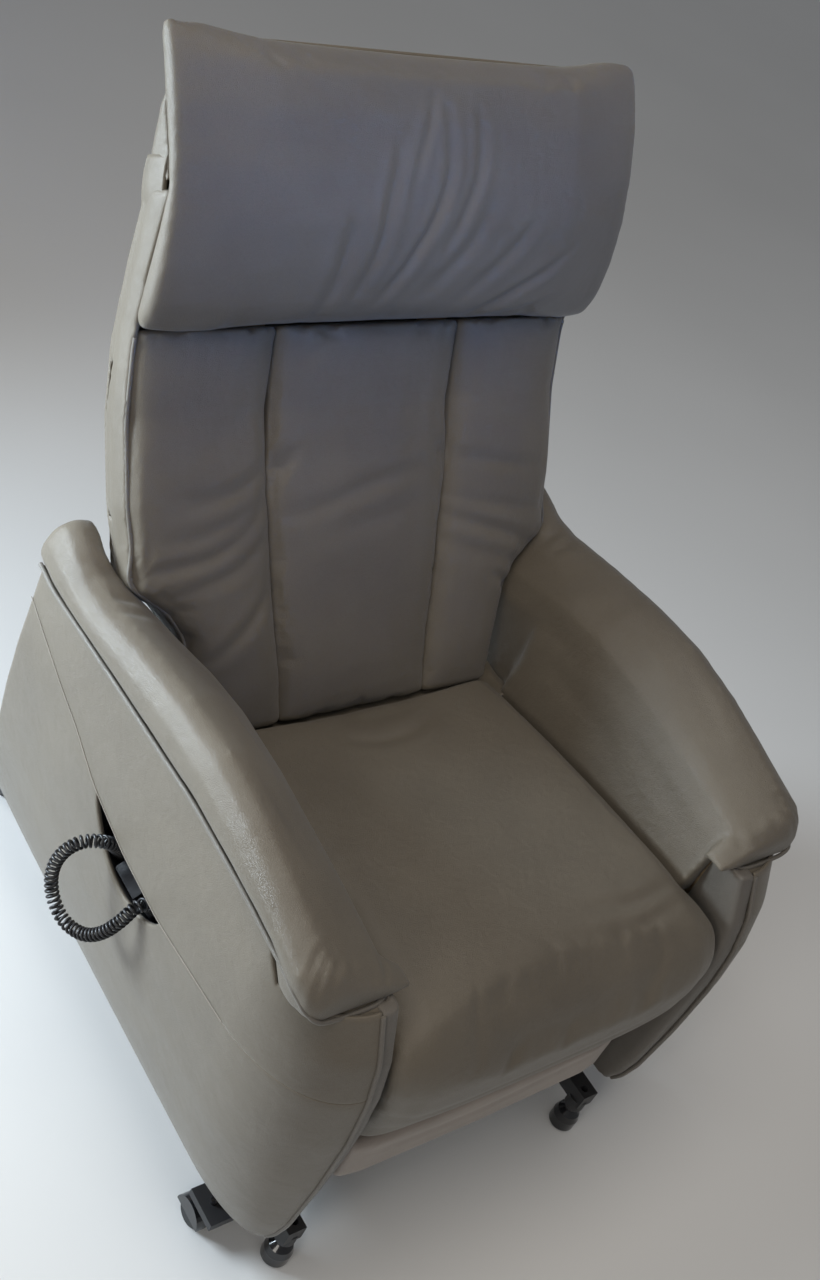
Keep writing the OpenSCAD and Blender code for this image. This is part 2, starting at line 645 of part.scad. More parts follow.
handset_top = -24;
button_r = 6;
button_zs = [-26, -44, -66, -84];
button_stand = 2;

module handset_housing() color(plastic_black) in_pocket() difference() {
    translate([-handset_t / 2, -handset_w / 2, handset_top - handset_len])
        cube([handset_t, handset_w, handset_len]);
    for (z = button_zs)
        translate([-handset_t / 2 - 1, 0, handset_top + z]) rotate([0, 90, 0])
            cylinder(r = button_r + 0.4, h = 5);
}

module button(i) color(steel_grey) in_pocket()
    translate([-handset_t / 2 - 0.8, 0, handset_top + button_zs[i]]) rotate([0, 90, 0])
        cylinder(r = button_r, h = button_stand);

// Route of the curly cord: up from one gland, out of the slit, round and back in.
cord_route = [
    [-305, -62, 291.5], [-318, -62, 306], [-332, -63, 324], [-348, -67, 346], [-364, -74, 369],
    [-380, -79, 393], [-398, -78, 404], [-416, -71, 401], [-430, -65, 384], [-438, -64, 360],
    [-440, -70, 336], [-438, -84, 316], [-434, -104, 306], [-428, -124, 308], [-422, -142, 320],
    [-414, -156, 341], [-404, -164, 367], [-392, -166, 389], [-378, -166, 389], [-363, -164, 368],
    [-348, -162, 346], [-332, -162, 324], [-318, -162, 306], [-305, -162, 291.5]];
gland_places = [-46, 54];

function unit(v) = v / norm(v);
// Smooth point between route points i and i + 1 (Catmull-Rom).
function on_route(p, i, t) = let (
    a = p[max(i - 1, 0)], b = p[i], c = p[i + 1], d = p[min(i + 2, len(p) - 1)])
    0.5 * (2 * b + (c - a) * t + (2 * a - 5 * b + 4 * c - d) * t * t + (3 * b - a - 3 * c + d) * t * t * t);

module swept_tube(p, r, sides) {
    pts = [for (i = [0:len(p) - 2]) each [on_route(p, i, 0)], p[len(p) - 1]];
    m = len(pts);
    dirs = [for (i = [0:m - 1]) unit(pts[min(i + 1, m - 1)] - pts[max(i - 1, 0)])];
    loft([for (i = [0:m - 1]) let (w = dirs[i], u = unit(cross(w, [0.31, 0.17, -0.94])), v = cross(w, u))
        [for (k = [sides - 1:-1:0]) pts[i] + r * (u * cos(360 * k / sides) + v * sin(360 * k / sides))]]);
}

module handset_cord() color(rubber_black) swept_tube(cord_route, cord_d / 2, 10);

module cord_glands() color(plastic_black) in_pocket()
    for (place = gland_places)
        translate([0, place, pocket_floor + 0.2]) cylinder(r = 9, h = 19);

module control_box() color(plastic_black) translate([120, 84, 262]) difference() {
    cube([92, 70, 62]);
    translate([30, 60, 18]) cube([32, 20, 24]);
}

module power_inlet() color(steel_black) translate([151, 146, 281]) difference() {
    cube([30, 9, 22]);
    translate([3, 3, 3]) cube([24, 10, 16]);
}

// ---------------------------------------------------------------- leg rest

board_back = -433;

module leg_board() color(steel_black) difference() {
    union() {
        translate([-245, -445, leg_low + 6]) cube([490, 12, 390 - leg_low]);
        both_sides() {
            plate(240, 245, [[-445, 360], [-433, 360], [-427, 404], [-427, 418], [-453, 418], [-453, 404]]);
        }
        for (x = [leg_motor_x - 20, leg_motor_x + 14])
            plate(x, x + plate_t, [[board_back - 1, 282], [board_back + 10, 288], [board_back + 18, 296],
                                   [board_back + 18, 306], [board_back + 10, 314], [board_back - 1, 330]]);
        rod_x(leg_lever_end, leg_roller_r, leg_motor_x - 15, leg_motor_x + 15);
    }
    both_sides() rod_x(knee_pivot, pin_r + run_gap, 239, 246);
}

function leg_front(z) = lookup(z, [[leg_low, -466], [270, -473], [300, -480],
                                   [335, -492], [375, -501], [400, -503]]);

module leg_pad() color(leather) {
    xs = [for (t = [-1, -0.985, -0.94, -0.8, -0.5, 0, 0.5, 0.8, 0.94, 0.985, 1]) t * leg_half];
    loft([for (x = xs) let (drop = 0.7 * side_drop(x, leg_half)) [
        [x, -446, leg_low + 4], [x, -457, leg_low],
        for (z = [leg_low + 6, 270, 300, 335, 375, 399.5]) [x, leg_front(z) + drop, z],
        [x, -446, 399.5]]]);
}

module foot_plate() color(steel_black) difference() {
    translate([-206, -431.5, foot_low + 2]) cube([412, 6, 382 - foot_low]);
    translate([leg_motor_x - 26, -440, 272]) cube([52, 30, 120]);
}

module foot_pad() color(leather) {
    xs = [for (t = [-1, -0.97, -0.85, 0, 0.85, 0.97, 1]) t * 214];
    loft([for (x = xs) let (drop = 0.4 * side_drop(x, 214)) [
        [x, -432, foot_low], [x, -464 + drop, foot_low], [x, -470 + drop, foot_low + 8],
        [x, -470 + drop, leg_low - 14], [x, -462 + drop, leg_low - 5], [x, -432, leg_low - 5]]]);
}

// ---------------------------------------------------------------- back

seat_corner = [11, 439];

// Children in the back's own frame: y is depth behind the panel face, z runs up the face.
module in_back() translate([0, seat_corner[0], seat_corner[1]]) rotate([-back_lean, 0, 0]) children();

function back_w(v) = back_half - lookup(v, [[-12, 100], [0, 98], [60, 86], [130, 70], [165, 50], [182, 33],
                                            [198, 17], [216, 9], [250, 5], [290, 1], [380, 1], [484, 4], [640, 4]]);
function seam_x(v) = lookup(v, [[0, 115], [66, 118], [150, 128], [290, 137], [390, 138], [484, 137]]);
// The back's upper end leans forward under the head cushion.
function back_shift(v) = lookup(v, [[390, 0], [475, -15], [560, -55], [616, -85], [640, -98]]);

pad_vs = [0, 8, 30, 60, 95, 130, 165, 195, 235, 290, 340, 390, 440, 470, panel_len];
pad_rear = 44;
// Swell of a back panel: full in the middle, falling to its seams and its ends.
function swell(t, v) = 15 * (1 - pow(abs(2 * t - 1), 3)) * min(1, 0.35 + v / 70) + 2;

module back_panel(x_from, x_to, left_edge, right_edge) {
    ts = [0, 0.04, 0.15, 0.35, 0.5, 0.65, 0.85, 0.96, 1];
    loft([for (v = pad_vs) let (a = x_from[0] * seam_x(v) + x_from[1] * (back_w(v) - 9),
                                b = x_to[0] * seam_x(v) + x_to[1] * (back_w(v) - 9), f = back_shift(v)) [
        [b, pad_rear + f, v], [a, pad_rear + f, v],
        for (t = ts)
            [mix(a, b, t), f - swell(t, v) + (t == 0 ? left_edge : 0) + (t == 1 ? right_edge : 0), v]]]);
}

module back_centre_pad() color(leather) in_back() back_panel([-0.992, 0], [0.992, 0], 4, 4);
module back_left_pad() color(leather) in_back() back_panel([0, -1], [-1.008, 0], 12, 4);
module back_right_pad() color(leather) in_back() back_panel([1.008, 0], [0, 1], 4, 12);

post_vs = [384, 430, 475, 520, 560, 600];

module back_frame() color(board_wood) {
    in_back() {
        difference() {
            translate([-198, 46, 4]) cube([396, 24, 380]);
            translate([-170, 40, 60]) cube([340, 40, 90]);
            translate([-170, 40, 190]) cube([340, 40, 150]);
        }
        // Posts that carry the head hinge
        for (x = [-154, 124])
            plate(x, x + 30, [for (v = post_vs) [47 + back_shift(v), v],
                              for (v = reversed(post_vs)) [70 + back_shift(v), v]]);
    }
    for (x = [-154, 124]) difference() {
        bar(x, x + 30, head_pivot, head_pivot - [12, 64], 9);
        translate([x + 11, head_pivot[0] - 40, head_pivot[1] - 12]) cube([8, 80, 30]);
    }
    for (x = [-154, 124]) rod_x(head_pivot, 4, x + 1, x + 29);
    difference() {
        union() {
            both_sides() in_back()
                plate(150, 172, [[27, -30], [46, -34], [70, 4], [70, 40], [46, 40], [46, 2], [33, -13]]);
            rod_x(back_pivot, 11, -chassis_x + 1, chassis_x - 1);
            for (x = [back_motor_x - 20, back_motor_x + 14])
                bar(x, x + plate_t, back_pivot, back_lever_end, 8);
        }
        both_sides() rod_x(back_pivot, pin_r + run_gap, 225, 240);
    }
    rod_x(back_lever_end, 5, back_motor_x - 15, back_motor_x + 15);
}

// Gusset and rear cover: a trough around the pads and the frame.
cover_wall = 7;
function cover_outer(v) = let (w = back_w(v), f = back_shift(v)) [
    [w, 2 + f, v], [w + 1, 26 + f, v], [w - 6, 60 + f, v], [w - 26, 84 + f, v], [w * 0.6, 92 + f, v],
    [-w * 0.6, 92 + f, v], [-w + 26, 84 + f, v], [-w + 6, 60 + f, v], [-w - 1, 26 + f, v], [-w, 2 + f, v]];
function cover_inner(v) = let (w = back_w(v), f = back_shift(v), i = w - cover_wall) [
    [i, 4 + f, v], [i, 26 + f, v], [i, 56 + f, v], [w - 32, 77 + f, v], [w * 0.6, 84 + f, v],
    [-w * 0.6, 84 + f, v], [-w + 32, 77 + f, v], [-i, 56 + f, v], [-i, 26 + f, v], [-i, 4 + f, v]];

module back_cover() color(leather) in_back() {
    vs = [2, 30, 60, 95, 130, 165, 195, 235, 290, 340, 390, 440, 470, 484, 520, 560, 590, 616, 638];
    sheet([for (v = vs) cover_outer(v)], [for (v = vs) cover_inner(v)]);
}

// ---------------------------------------------------------------- head section

head_foot = [215, 891];
// Children in the head's own frame: y is depth behind the face line, z runs up the face.
module in_head() translate([0, head_foot[0], head_foot[1]]) rotate([-head_lean, 0, 0]) children();

// Edge shape of the head cushion towards its sides: the front pulls back, the rear tucks forward.
function head_pull(x) = 12 * pow(abs(x) / head_half, 10);
function head_tuck(x) = lookup(abs(x), [[0, 0], [292, 0], [309, 1], [400, 1]]);

module head_cushion() color(leather) in_head() {
    xs = [for (t = [-1, -0.985, -0.94, -0.89, -0.75, -0.5, -0.25, 0, 0.25, 0.5, 0.75, 0.89, 0.94, 0.985, 1])
        t * head_half];
    loft([for (x = xs) let (e = head_pull(x), k = head_tuck(x),
                            top = head_len - 6 + 6 * pow(abs(x) / head_half, 2)) [
        [x, 24 - 6 * k, 6], [x, 4 + e * 0.3, -6 + e * 0.3], [x, -14 + e, 4 + e * 0.3], [x, -28 + e, 34],
        [x, -38 + e, 80], [x, -42 + e, 130], [x, -38 + e, 185], [x, -26 + e, 240], [x, -10 + e, 284],
        [x, 6 + e * 0.6, top - 4], [x, 22, top], [x, 38 - 10 * k, top - 6],
        [x, 38 - 49 * k, 190], [x, 38 - 57 * k, 152], [x, 26 - 38 * k, 124], [x, 20 - 15 * k, 60]]]);
}

module head_frame() color(steel_black) {
    in_head() {
        translate([-200, 44, 172]) cube([400, 8, 90]);
    }
    for (x = [-142, 136]) difference() {
        bar(x, x + 6, head_pivot, head_pivot + [8, 28], 8);
        rod_x(head_pivot, 4 + run_gap, x - 1, x + 7);
    }
}

// Width, front edge and depth of the head cover at a height; its lower edge lies along the back cover's.
function cover_half(v) = lookup(v, [[146, 321], [187, 318], [240, 300], [296, 284]]);
function cover_front(v) = lookup(v, [[146, -8], [187, 2], [225, 40], [296, 40]]);
function cover_depth(v) = lookup(v, [[146, 73], [187, 71], [240, 64], [296, 56]]);
function leaned(v, points) = let (slant = v < 150 ? -0.237 : 0)
    [for (p = points) [p[0], p[1], v + slant * (p[1] - 49)]];
function head_outer(v) = let (w = cover_half(v), f = cover_front(v), r = cover_depth(v), side = mix(f, r, 0.5))
    leaned(v, [[w, f], [w - 2, side], [w - 20, r - 4], [w * 0.6, r],
               [-w * 0.6, r], [-w + 20, r - 4], [-w + 2, side], [-w, f]]);
function head_inner(v) = let (w = cover_half(v), f = cover_front(v), r = cover_depth(v), side = mix(f, r, 0.5),
                              i = w - cover_wall)
    leaned(v, [[i, f + 2], [i - 2, side - 2], [w - 28, r - 12], [w * 0.6, r - 7],
               [-w * 0.6, r - 7], [-w + 28, r - 12], [-i + 2, side - 2], [-i, f + 2]]);

module head_cover() color(leather) in_head() {
    vs = [146, 165, 187, 205, 225, 250, 275, 296];
    sheet([for (v = vs) head_outer(v)], [for (v = vs) head_inner(v)]);
}

// ---------------------------------------------------------------- nodes

placed() floor_frame();
placed() lift_brackets();
placed() front_feet();
placed() rear_feet();
placed() base_pins();
placed() castor_housing(-castor_front[0], castor_front[1]);  // castor_housing_fl
placed() castor_housing(castor_front[0], castor_front[1]);  // castor_housing_fr
placed() castor_housing(-castor_rear[0], castor_rear[1]);  // castor_housing_rl
placed() castor_housing(castor_rear[0], castor_rear[1]);  // castor_housing_rr
placed() castor_wheels(-castor_front[0], castor_front[1]);  // castor_wheels_fl
placed() castor_wheels(castor_front[0], castor_front[1]);  // castor_wheels_fr
placed() castor_wheels(-castor_rear[0], castor_rear[1]);  // castor_wheels_rl
placed() castor_wheels(castor_rear[0], castor_rear[1]);  // castor_wheels_rr
placed() lift_arms();
placed() lift_links();
placed() lift_motor();
placed() lift_rod();
placed() chassis();
placed() chassis_pins();
placed() seat_frame();
placed() seat_springs();
placed() seat_cushion();
placed() knee_bend_pad();
placed() arm_frame_left();
placed() arm_frame_right();
placed() arm_pad_left();
placed() arm_pad_right();
placed() side_upper_left();
placed() side_upper_right();
placed() side_lower_left();
placed() side_lower_right();
placed() front_border_left();
placed() front_border_right();
placed() pocket_liner();
placed() handset_cord();
placed() cord_glands();
placed() control_box();
placed() power_inlet();
placed() back_motor();
placed() back_rod();
placed() leg_motor();
placed() leg_rod();
placed() leg_board();
placed() leg_pad();
placed() foot_plate();
placed() foot_pad();
placed() back_frame();
placed() back_centre_pad();
placed() back_left_pad();
placed() back_right_pad();
placed() back_cover();
placed() head_frame();
placed() head_cushion();
placed() head_cover();
placed() handset_housing();
placed() button(0);  // button_head_up
placed() button(1);  // button_head_down
placed() button(2);  // button_lift_up
placed() button(3);  // button_lift_down
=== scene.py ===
"""Lift recliner chair: leather upholstery, finishes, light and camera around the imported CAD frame."""
import json
import math

import bmesh
import bpy
import numpy as np
from mathutils import Matrix, Vector


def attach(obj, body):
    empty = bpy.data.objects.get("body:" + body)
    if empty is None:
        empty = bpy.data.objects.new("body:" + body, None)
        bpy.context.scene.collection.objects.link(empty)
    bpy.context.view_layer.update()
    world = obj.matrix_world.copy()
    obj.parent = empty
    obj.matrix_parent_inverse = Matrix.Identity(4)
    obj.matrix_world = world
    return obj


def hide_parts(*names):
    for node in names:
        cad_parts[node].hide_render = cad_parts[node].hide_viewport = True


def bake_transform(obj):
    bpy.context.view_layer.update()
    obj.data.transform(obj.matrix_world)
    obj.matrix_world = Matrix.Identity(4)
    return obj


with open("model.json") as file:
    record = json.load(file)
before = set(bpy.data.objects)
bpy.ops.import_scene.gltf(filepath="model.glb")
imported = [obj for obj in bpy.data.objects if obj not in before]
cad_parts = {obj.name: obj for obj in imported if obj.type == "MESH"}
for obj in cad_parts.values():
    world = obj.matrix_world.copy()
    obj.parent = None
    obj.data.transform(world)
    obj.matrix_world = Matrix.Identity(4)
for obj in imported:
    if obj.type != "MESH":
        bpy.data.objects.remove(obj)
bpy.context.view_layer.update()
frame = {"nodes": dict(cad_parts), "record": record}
NODES = frame["nodes"]

# ---------------------------------------------------------------- units and helpers
# Shapes are written in millimetres in the drawing's frame, whose zero lies MID_SHIFT ahead of the row frame's.
MID_SHIFT = 75


def metres(points):
    """Drawing millimetres to row metres."""
    return (np.asarray(points, float) + [0, MID_SHIFT, 0]) * 0.001


def lookup(table, at, soft=0.0):
    """Value of a listed [place, value] table, rounded over a width of soft."""
    keys, values = zip(*table)
    at = np.asarray(at, float)
    if not soft:
        return np.interp(at, keys, values)
    offsets = np.linspace(-1.5, 1.5, 13)
    weights = np.exp(-offsets ** 2)
    return sum(w * np.interp(at + o * soft, keys, values) for o, w in zip(offsets, weights)) / weights.sum()


def smooth_step(t):
    """Eases from 0 to 1 as t does, and stays there beyond."""
    t = np.clip(t, 0, 1)
    return t * t * (3 - 2 * t)


def smooth_line(points, per=12):
    """Catmull-Rom line through the points."""
    p = np.asarray(points, float)
    if len(p) < 3:
        t = np.linspace(0, 1, per + 1)[:, None]
        return p[0] * (1 - t) + p[-1] * t
    q = np.vstack([2 * p[0] - p[1], p, 2 * p[-1] - p[-2]])
    t = np.linspace(0, 1, per, endpoint=False)[:, None]
    rows = []
    for a, b, c, d in zip(q, q[1:], q[2:], q[3:]):
        rows.append(0.5 * (2 * b + (c - a) * t + (2 * a - 5 * b + 4 * c - d) * t ** 2
                           + (3 * b - a - 3 * c + d) * t ** 3))
    return np.vstack(rows + [p[-1:]])


def new_object(name, data):
    obj = bpy.data.objects.new(name, data)
    bpy.context.scene.collection.objects.link(obj)
    return obj


def mesh_object(name, verts, faces):
    """Smooth-shaded mesh from drawing millimetres."""
    data = bpy.data.meshes.new(name)
    data.from_pydata([tuple(v) for v in metres(verts)], [], [list(map(int, f)) for f in faces])
    data.validate()
    data.update()
    obj = new_object(name, data)
    shade(obj)
    return obj


def shade(obj):
    obj.data.polygons.foreach_set("use_smooth", [True] * len(obj.data.polygons))
    obj.data.update()


def grid_faces(m, n, start=0, flip=False, around=False):
    """Quads over m rows of n points, each row closed where around is set."""
    faces = []
    for i in range(m - 1):
        for j in range(n if around else n - 1):
            k = (j + 1) % n
            f = [start + i * n + j, start + (i + 1) * n + j, start + (i + 1) * n + k, start + i * n + k]
            faces.append(f[::-1] if flip else f)
    return faces


def loft(name, rings):
    """Closed solid through rings of points."""
    rings = np.asarray(rings, float)
    m, n = rings.shape[:2]
    faces = grid_faces(m, n, around=True) + [list(range(n)), [(m - 1) * n + j for j in range(n)][::-1]]
    return outward(mesh_object(name, rings.reshape(-1, 3), faces))


def slab(name, outer, inner):
    """Closed sheet between two grids of points."""
    outer, inner = np.asarray(outer, float), np.asarray(inner, float)
    m, n = outer.shape[:2]
    faces = grid_faces(m, n) + grid_faces(m, n, start=m * n, flip=True)
    rim = ([(0, j) for j in range(n)] + [(i, n - 1) for i in range(1, m)]
           + [(m - 1, j) for j in range(n - 2, -1, -1)] + [(i, 0) for i in range(m - 2, 0, -1)])
    ids = [i * n + j for i, j in rim]
    for a, b in zip(ids, ids[1:] + ids[:1]):
        faces.append([a, b, b + m * n, a + m * n])
    return outward(mesh_object(name, np.vstack([outer.reshape(-1, 3), inner.reshape(-1, 3)]), faces))


def outward(obj):
    """Turns all faces outwards."""
    bm = bmesh.new()
    bm.from_mesh(obj.data)
    bmesh.ops.recalc_face_normals(bm, faces=bm.faces)
    bm.to_mesh(obj.data)
    bm.free()
    shade(obj)
    return obj


def copy_of(name, *nodes):
    """New mesh object with the CAD nodes' surfaces."""
    bm = bmesh.new()
    for node in nodes:
        bm.from_mesh(NODES[node].data)
    bmesh.ops.remove_doubles(bm, verts=bm.verts, dist=1e-5)
    data = bpy.data.meshes.new(name)
    bm.to_mesh(data)
    bm.free()
    data.materials.clear()
    return new_object(name, data)


def bake(obj):
    """Applies the object's modifiers."""
    bpy.context.view_layer.update()
    evaluated = obj.evaluated_get(bpy.context.evaluated_depsgraph_get())
    data = bpy.data.meshes.new_from_object(evaluated)
    obj.modifiers.clear()
    old, obj.data = obj.data, data
    bpy.data.meshes.remove(old)
    shade(obj)
    return obj


def refine(obj, voxel=None, rounds=0, subdivide=0, swell=0.0):
    """Voxel remesh (mm), smoothing rounds and subdivision, applied.
    The swell (mm) gives back what smoothing shrinks."""
    if voxel:
        m = obj.modifiers.new("voxels", "REMESH")
        m.mode, m.voxel_size = "VOXEL", voxel * 0.001
    if rounds:
        m = obj.modifiers.new("smooth", "SMOOTH")
        m.iterations, m.factor = rounds, 0.5
    if subdivide:
        m = obj.modifiers.new("subdivide", "SUBSURF")
        m.levels = m.render_levels = subdivide
    bake(obj)
    if swell:
        set_co(obj, get_co(obj) + swell * get_normals(obj))
    return obj


def get_co(obj):
    co = np.empty(len(obj.data.vertices) * 3)
    obj.data.vertices.foreach_get("co", co)
    return co.reshape(-1, 3) * 1000 - [0, MID_SHIFT, 0]


def get_normals(obj):
    no = np.empty(len(obj.data.vertices) * 3)
    obj.data.vertices.foreach_get("normal", no)
    return no.reshape(-1, 3)


def set_co(obj, co):
    obj.data.vertices.foreach_set("co", metres(co).astype(np.float32).ravel())
    obj.data.update()


CLOTH_FRAMES = 20


def puff(obj, cap, where):
    """Cloth run with inner pressure; a point moves at most cap millimetres, times where(co)."""
    start = get_co(obj)
    cloth = obj.modifiers.new("cloth", "CLOTH")
    s = cloth.settings
    s.quality = 4
    s.mass = 0.3
    s.use_pressure = True
    s.uniform_pressure_force = 4.0
    s.shrink_min = -0.03
    s.effector_weights.gravity = 0
    cloth.point_cache.frame_start, cloth.point_cache.frame_end = 1, CLOTH_FRAMES
    for f in range(1, CLOTH_FRAMES + 1):
        bpy.context.scene.frame_set(f)
    evaluated = obj.evaluated_get(bpy.context.evaluated_depsgraph_get())
    co = np.empty(len(start) * 3)
    evaluated.data.vertices.foreach_get("co", co)
    moved = co.reshape(-1, 3) * 1000 - [0, MID_SHIFT, 0] - start
    obj.modifiers.clear()
    bpy.context.scene.frame_set(1)
    length = np.linalg.norm(moved, axis=1, keepdims=True) + 1e-9
    moved *= np.minimum(1, cap / length)
    set_co(obj, start + moved * where(start)[:, None])
    return obj


def crease(obj, flat, lines, facing):
    """Presses folds into the part of a surface that faces one way.
    flat(co) gives each point's place on the plane in which the lines are drawn.
    A line is (points, depth, width), with a soft ridge on both sides."""
    co, no = get_co(obj), get_normals(obj)
    uv = flat(co)
    side = np.clip(no @ np.asarray(facing, float) * 1.6 - 0.1, 0, 1)
    push = np.zeros(len(co))
    for points, depth, width in lines:
        path = smooth_line(points, 8)
        d = np.full(len(co), 1e9)
        along = np.zeros(len(co))
        for k, (a, b) in enumerate(zip(path, path[1:])):
            ab = b - a
            t = np.clip(((uv - a) @ ab) / (ab @ ab), 0, 1)
            e = np.linalg.norm(uv - a - t[:, None] * ab, axis=1)
            near = e < d
            d[near], along[near] = e[near], ((k + t) / (len(path) - 1))[near]
        fade = np.sin(np.pi * np.clip(along, 0.02, 0.98)) ** 0.6
        ridge = 0.4 * np.exp(-((d - 1.9 * width) / (1.1 * width)) ** 2)
        push += fade * depth * (ridge - np.exp(-(d / width) ** 2))
    set_co(obj, co + no * (push * side)[:, None])
    return obj


def tube(name, points, radius, body, per=8):
    """Round cord or piping (mesh) along a line through drawing points."""
    line = metres(smooth_line(points, per) if per else np.asarray(points, float))
    data = bpy.data.curves.new(name, "CURVE")
    data.dimensions = "3D"
    data.bevel_depth = radius * 0.001
    data.bevel_resolution = 3
    data.use_fill_caps = True
    spline = data.splines.new("POLY")
    spline.points.add(len(line) - 1)
    spline.points.foreach_set("co", np.hstack([line, np.ones((len(line), 1))]).astype(np.float32).ravel())
    spline.use_smooth = True
    curve = new_object(name + "_line", data)
    bpy.context.view_layer.update()
    mesh = bpy.data.meshes.new_from_object(curve.evaluated_get(bpy.context.evaluated_depsgraph_get()))
    bpy.data.objects.remove(curve)
    bpy.data.curves.remove(data)
    mesh.name = name
    mesh.materials.clear()
    obj = new_object(name, mesh)
    shade(obj)
    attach(obj, body)
    return obj


def finish_piece(obj, material, body=None, replaces=()):
    obj.data.materials.clear()
    obj.data.materials.append(material)
    if body:
        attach(obj, body)
    if replaces:
        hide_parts(*replaces)
    return obj

# ---------------------------------------------------------------- materials


def material(name, rough, **sockets):
    """Material with a Principled shader; returns it with its node tree and the shader."""
    mat = bpy.data.materials.new(name)
    mat.use_nodes = True
    shader = mat.node_tree.nodes["Principled BSDF"]
    shader.inputs["Roughness"].default_value = rough
    for key, value in sockets.items():
        shader.inputs[key.replace("_", " ")].default_value = value
    return mat, mat.node_tree, shader


def node(tree, kind, inputs=None, **settings):
    """New shader node; an input is a value or the socket that feeds it."""
    n = tree.nodes.new(kind)
    for key, value in settings.items():
        setattr(n, key, value)
    for key, value in (inputs or {}).items():
        if isinstance(value, bpy.types.NodeSocket):
            tree.links.new(value, n.inputs[key])
        else:
            n.inputs[key].default_value = value
    return n


def rgb(color):
    return (*color, 1)


def place(tree, scale=(1, 1, 1)):
    """Object coordinates, scaled."""
    coords = node(tree, "ShaderNodeTexCoord").outputs["Object"]
    return node(tree, "ShaderNodeMapping", {"Vector": coords, "Scale": scale}).outputs["Vector"]


def ramp(tree, factor, *stops):
    n = node(tree, "ShaderNodeValToRGB", {"Fac": factor})
    elements = n.color_ramp.elements
    while len(elements) < len(stops):
        elements.new(0.5)
    for element, (at, color) in zip(elements, stops):
        element.position = at
        element.color = rgb(color) if len(color) == 3 else color
    return n.outputs["Color"]


def leather(name, light, dark, rough=0.46, grain=1.0, edge=0.25):
    """Leather with pebbled grain, pores and soft colour clouds; edge sets a painted highlight that makes convex
    edges paler.
    """
    mat, tree, shader = material(name, rough, Sheen_Weight=0.12, Sheen_Roughness=0.5, Specular_IOR_Level=0.45)
    at = place(tree)
    clouds = node(tree, "ShaderNodeTexNoise", {"Vector": at, "Scale": 5.0, "Detail": 5.0, "Roughness": 0.6})
    base = ramp(tree, clouds.outputs["Fac"], (0.32, dark), (0.68, light))
    cells = node(tree, "ShaderNodeTexVoronoi", {"Vector": at, "Scale": 620.0, "Randomness": 1.0},
                 feature="DISTANCE_TO_EDGE")
    pores = node(tree, "ShaderNodeTexNoise", {"Vector": at, "Scale": 1500.0, "Detail": 3.0})
    cracks = node(tree, "ShaderNodeMapRange", {"Value": cells.outputs["Distance"], "From Min": 0.0,
                                               "From Max": 0.22})
    shade_in = ramp(tree, cracks.outputs["Result"], (0.0, (0.80, 0.80, 0.80)), (1.0, (1, 1, 1)))
    grained = node(tree, "ShaderNodeMix", {"Factor": 0.7, "A": base, "B": shade_in}, data_type="RGBA",
                   blend_type="MULTIPLY")
    # Painted highlight: convex edges (high pointiness) are mixed, up to edge, towards a paler tone of the
    # leather.
    edge_highlight = node(tree, "ShaderNodeMapRange", {"Value": node(tree, "ShaderNodeNewGeometry").outputs["Pointiness"],
                                             "From Min": 0.50, "From Max": 0.60, "To Min": 0.0, "To Max": edge})
    pale = node(tree, "ShaderNodeMix", {"Factor": edge_highlight.outputs["Result"], "A": grained.outputs["Result"],
                                        "B": rgb([min(1, c * 1.45) for c in light])}, data_type="RGBA")
    tree.links.new(pale.outputs["Result"], shader.inputs["Base Color"])
    gloss = node(tree, "ShaderNodeMapRange", {"Value": clouds.outputs["Fac"], "From Min": 0.3, "From Max": 0.7,
                                              "To Min": rough - 0.05, "To Max": rough + 0.07})
    tree.links.new(gloss.outputs["Result"], shader.inputs["Roughness"])
    relief = node(tree, "ShaderNodeMath", {0: cracks.outputs["Result"], 1: pores.outputs["Fac"]},
                  operation="ADD")
    fine = node(tree, "ShaderNodeBump", {"Height": relief.outputs[0], "Strength": 0.35 * grain,
                                         "Distance": 0.0006})
    soft = node(tree, "ShaderNodeTexNoise", {"Vector": at, "Scale": 42.0, "Detail": 4.0, "Distortion": 0.4})
    broad = node(tree, "ShaderNodeBump", {"Height": soft.outputs["Fac"], "Strength": 0.35, "Distance": 0.003,
                                          "Normal": fine.outputs["Normal"]})
    tree.links.new(broad.outputs["Normal"], shader.inputs["Normal"])
    return mat


def moulded(name, color, rough, scale=900.0, depth=0.15, metal=0.0, coat=0.0, spec=0.5):
    """Moulded plastic, powder coat, rubber or plated steel with a fine uneven surface."""
    mat, tree, shader = material(name, rough, Metallic=metal, Coat_Weight=coat, Specular_IOR_Level=spec)
    at = place(tree)
    fine = node(tree, "ShaderNodeTexNoise", {"Vector": at, "Scale": scale, "Detail": 4.0})
    broad = node(tree, "ShaderNodeTexNoise", {"Vector": at, "Scale": 18.0, "Detail": 3.0})
    tone = ramp(tree, broad.outputs["Fac"], (0.3, [c * 0.85 for c in color]),
                (0.7, [min(1, c * 1.12) for c in color]))
    tree.links.new(tone, shader.inputs["Base Color"])
    gloss = node(tree, "ShaderNodeMapRange", {"Value": fine.outputs["Fac"], "To Min": max(0.05, rough - 0.08),
                                              "To Max": rough + 0.1})
    tree.links.new(gloss.outputs["Result"], shader.inputs["Roughness"])
    bump = node(tree, "ShaderNodeBump", {"Height": fine.outputs["Fac"], "Strength": depth, "Distance": 0.0005})
    tree.links.new(bump.outputs["Normal"], shader.inputs["Normal"])
    return mat


